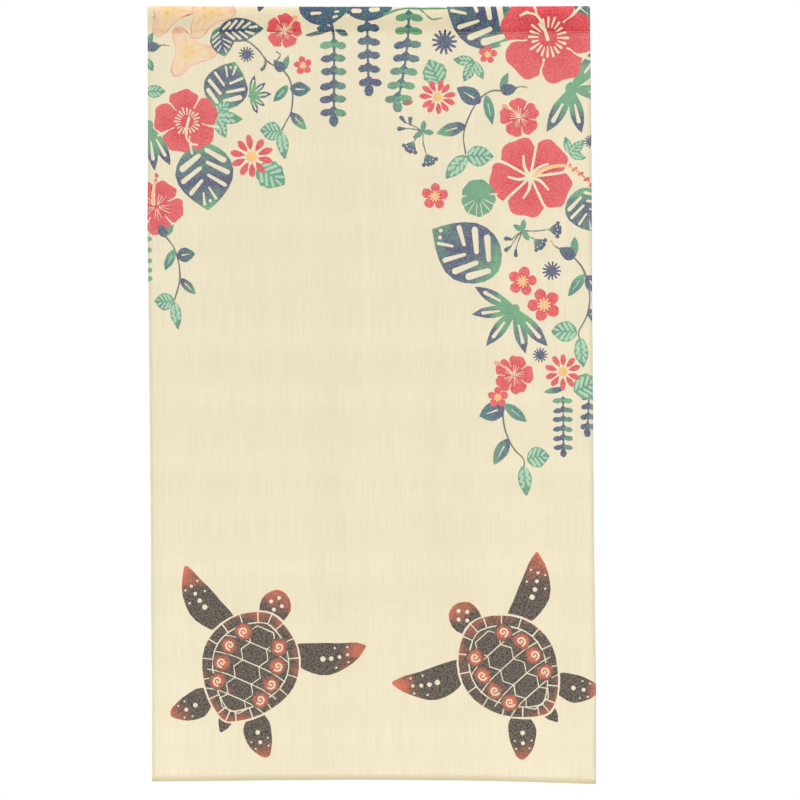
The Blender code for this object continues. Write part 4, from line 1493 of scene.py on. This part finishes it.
def printed_slub_cloth():
    """Plain-woven cotton slub cloth in its natural beige, screen printed with matt pigment.

    To the eye it's quite matt and a little see-through. Its uneven threads show as fine upright streaks with
    fewer level ones. The pigment sits on the crowns of the threads, so each ink is finely speckled, and its
    colours run into each other in brushed patches. Where the cloth is doubled in the pocket and the hems,
    less light comes through, and this is painted into the colour as shade: the cloth is darker there, most at
    the bottom hem's edge, and the inks are deeper and stronger. Painted light then brightens the pocket's
    colour again.
    """
    made, shader = start_material("printed slub cloth", CLOTH_FINISH)
    tree = made.node_tree
    cut = add_node(tree, "ShaderNodeAttribute", attribute_name="cut_place").outputs["Vector"]
    ink_one = add_node(tree, "ShaderNodeAttribute", attribute_name="ink_one").outputs
    ink_two = add_node(tree, "ShaderNodeAttribute", attribute_name="ink_two").outputs
    spots = cloth_spots(tree, cut)
    level = add_node(tree, "ShaderNodeMath", {0: spots["level"], 1: LEVEL_SHARE}, operation="MULTIPLY")
    slubs = add_node(tree, "ShaderNodeMath", {0: spots["upright"], 1: level}, operation="ADD")
    crowns = add_node(tree, "ShaderNodeMath", {0: spots["upright_crowns"], 1: spots["level_crowns"]},
                      operation="MULTIPLY")
    place = add_node(tree, "ShaderNodeSeparateXYZ", {0: cut}).outputs
    in_pocket = add_node(tree, "ShaderNodeMapRange", {"Value": place["Y"],
                                                      "From Min": POCKET_HEIGHT + EDGE_BLUR,
                                                      "From Max": POCKET_HEIGHT - EDGE_BLUR})

    bare = bare_cloth(tree, slubs, spots["bands"], in_pocket, place)
    ink = ink_colour(tree, ink_one, ink_two, spots["patches"], in_pocket, place)
    cover = ink_cover(tree, ink_two["Alpha"], crowns, in_pocket)
    printed = add_node(tree, "ShaderNodeMix", {0: cover, 6: bare, 7: ink}, data_type="RGBA")
    # painted light: the pocket's colour is made brighter
    pocket_brightening = add_node(tree, "ShaderNodeMapRange", {"Value": in_pocket, "To Min": 1.0,
                                                      "To Max": POCKET_PAINTED_LIGHT})
    colour = add_node(tree, "ShaderNodeVectorMath", {0: printed, "Scale": pocket_brightening}, operation="SCALE")

    weave = add_node(tree, "ShaderNodeMath", {0: crowns, 1: CROWN_HEIGHT, 2: slubs}, operation="MULTIPLY_ADD")
    bump = add_node(tree, "ShaderNodeBump", {"Height": weave, "Distance": WEAVE_DEPTH,
                                             "Strength": WEAVE_STRENGTH})
    tree.links.new(colour.outputs[0], shader.inputs["Base Color"])
    tree.links.new(bump.outputs["Normal"], shader.inputs["Normal"])
    through = add_node(tree, "ShaderNodeBsdfTranslucent", {"Color": colour, "Normal": bump})
    both = add_node(tree, "ShaderNodeMixShader", {0: LIGHT_THROUGH, 1: shader, 2: through})
    tree.links.new(both.outputs["Shader"], tree.nodes["Material Output"].inputs["Surface"])
    return made


def spun_thread():
    """Two-ply cotton sewing thread, undyed and matt, with painted shade for its twist: fine slanting stripes,
    darker between the ridges.
    """
    made, shader = start_material("spun cotton thread", THREAD_FINISH)
    tree = made.node_tree
    place = add_node(tree, "ShaderNodeTexCoord").outputs["Object"]
    twist = add_node(tree, "ShaderNodeTexWave", {"Vector": place, "Scale": TWIST_SCALE, "Distortion": 1.0},
                     bands_direction="DIAGONAL").outputs["Fac"]
    # painted shade: the thread goes to the darker cloth colour in the grooves of its twist
    shade = add_node(tree, "ShaderNodeMix", {0: twist, 6: linear(CLOTH_DARK), 7: linear(THREAD_COLOUR)},
                     data_type="RGBA")
    tree.links.new(shade.outputs[2], shader.inputs["Base Color"])
    return made


# ---------------------------------------------------------------- studio
PHOTO_PIXEL = 1.9174 * MM  # what one pixel of the photograph covers at the cloth
PHOTO_SIZE = 800
FOLD_MIDDLE_PIXEL = (368.6, 6.7)  # where the middle of the top fold lies in the photograph
LENS, SENSOR = 100.0, 36.0
FLOOR_BELOW = 2.1  # the top fold
FLOOR_HALF = 1.7
FLOOR_COLOUR = "#EDECE8"
SURROUND_LIGHT = (1.0, 0.99, 0.97, 1)
SURROUND_STRENGTH = 0.34

# The lights are round, this wide, and aimed at the middle of the cloth, and their power is in watts
Light = namedtuple("Light", "name place width power")
LIGHTS = [
    Light("soft key", (-21.6, -21.6, 20), 12.0, 17300),
    Light("soft fill", (2.7, -2.9, 1.3), 2.6, 60),
    Light("soft back", (3.5, 8.5, 2.5), 5.0, 700),
]


def add_camera():
    """A long lens, square on to the cloth."""
    data = bpy.data.cameras.new("camera")
    data.lens = LENS
    data.sensor_width = SENSOR
    distance = PHOTO_SIZE * PHOTO_PIXEL * LENS / SENSOR
    across = (PHOTO_SIZE / 2 - FOLD_MIDDLE_PIXEL[0]) * PHOTO_PIXEL
    below = (PHOTO_SIZE / 2 - FOLD_MIDDLE_PIXEL[1]) * PHOTO_PIXEL
    camera = add_object("camera", data)
    camera.location = (across, -distance, -below)
    camera.rotation_euler = (math.radians(90), 0, 0)
    bpy.context.scene.camera = camera


def add_light(light):
    data = bpy.data.lights.new(light.name, "AREA")
    data.shape = "DISK"
    data.size = light.width
    data.energy = light.power
    made = add_object(light.name, data)
    made.location = light.place
    aim = Vector((0, 0, -LENGTH / 2)) - Vector(light.place)
    made.rotation_euler = aim.to_track_quat("-Z", "Y").to_euler()


def add_floor():
    """A round sheet of pale matt paper."""
    mesh = bpy.data.meshes.new("studio_floor")
    shape = bmesh.new()
    bmesh.ops.create_circle(shape, cap_ends=True, segments=96, radius=FLOOR_HALF)
    shape.to_mesh(mesh)
    shape.free()
    floor = add_object("studio_floor", mesh)
    floor.location = (0, 0, -FLOOR_BELOW)
    paper, shader = start_material("pale paper floor", {"Roughness": 0.9})
    shader.inputs["Base Color"].default_value = linear(FLOOR_COLOUR)
    mesh.materials.append(paper)


def build_studio():
    """A plain pale floor, a white surround and soft light, most of it from the upper left."""
    add_camera()
    for light in LIGHTS:
        add_light(light)
    add_floor()

    world = bpy.data.worlds.new("white studio")
    world.use_nodes = True
    tree = world.node_tree
    tree.nodes.clear()
    lit = add_node(tree, "ShaderNodeBackground", {"Color": SURROUND_LIGHT, "Strength": SURROUND_STRENGTH})
    seen = add_node(tree, "ShaderNodeBackground", {"Color": (1, 1, 1, 1), "Strength": 1.0})
    rays = add_node(tree, "ShaderNodeLightPath")
    both = add_node(tree, "ShaderNodeMixShader", {0: rays.outputs["Is Camera Ray"], 1: lit, 2: seen})
    add_node(tree, "ShaderNodeOutputWorld", {"Surface": both})
    bpy.context.scene.world = world
    bpy.context.scene.view_settings.view_transform = "Standard"


def build_curtain():
    """Makes the two pieces, the printed cloth and its stitching, attaches both to the root body and hides the
    solids they replace.
    """
    cloth = make_cloth(draw_print())
    cloth.data.materials.append(printed_slub_cloth())
    stitching = make_stitching()
    stitching.data.materials.append(spun_thread())

    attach(cloth, "root")
    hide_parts("rod_pocket", "curtain_panel")
    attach(stitching, "root")


build_studio()
build_curtain()
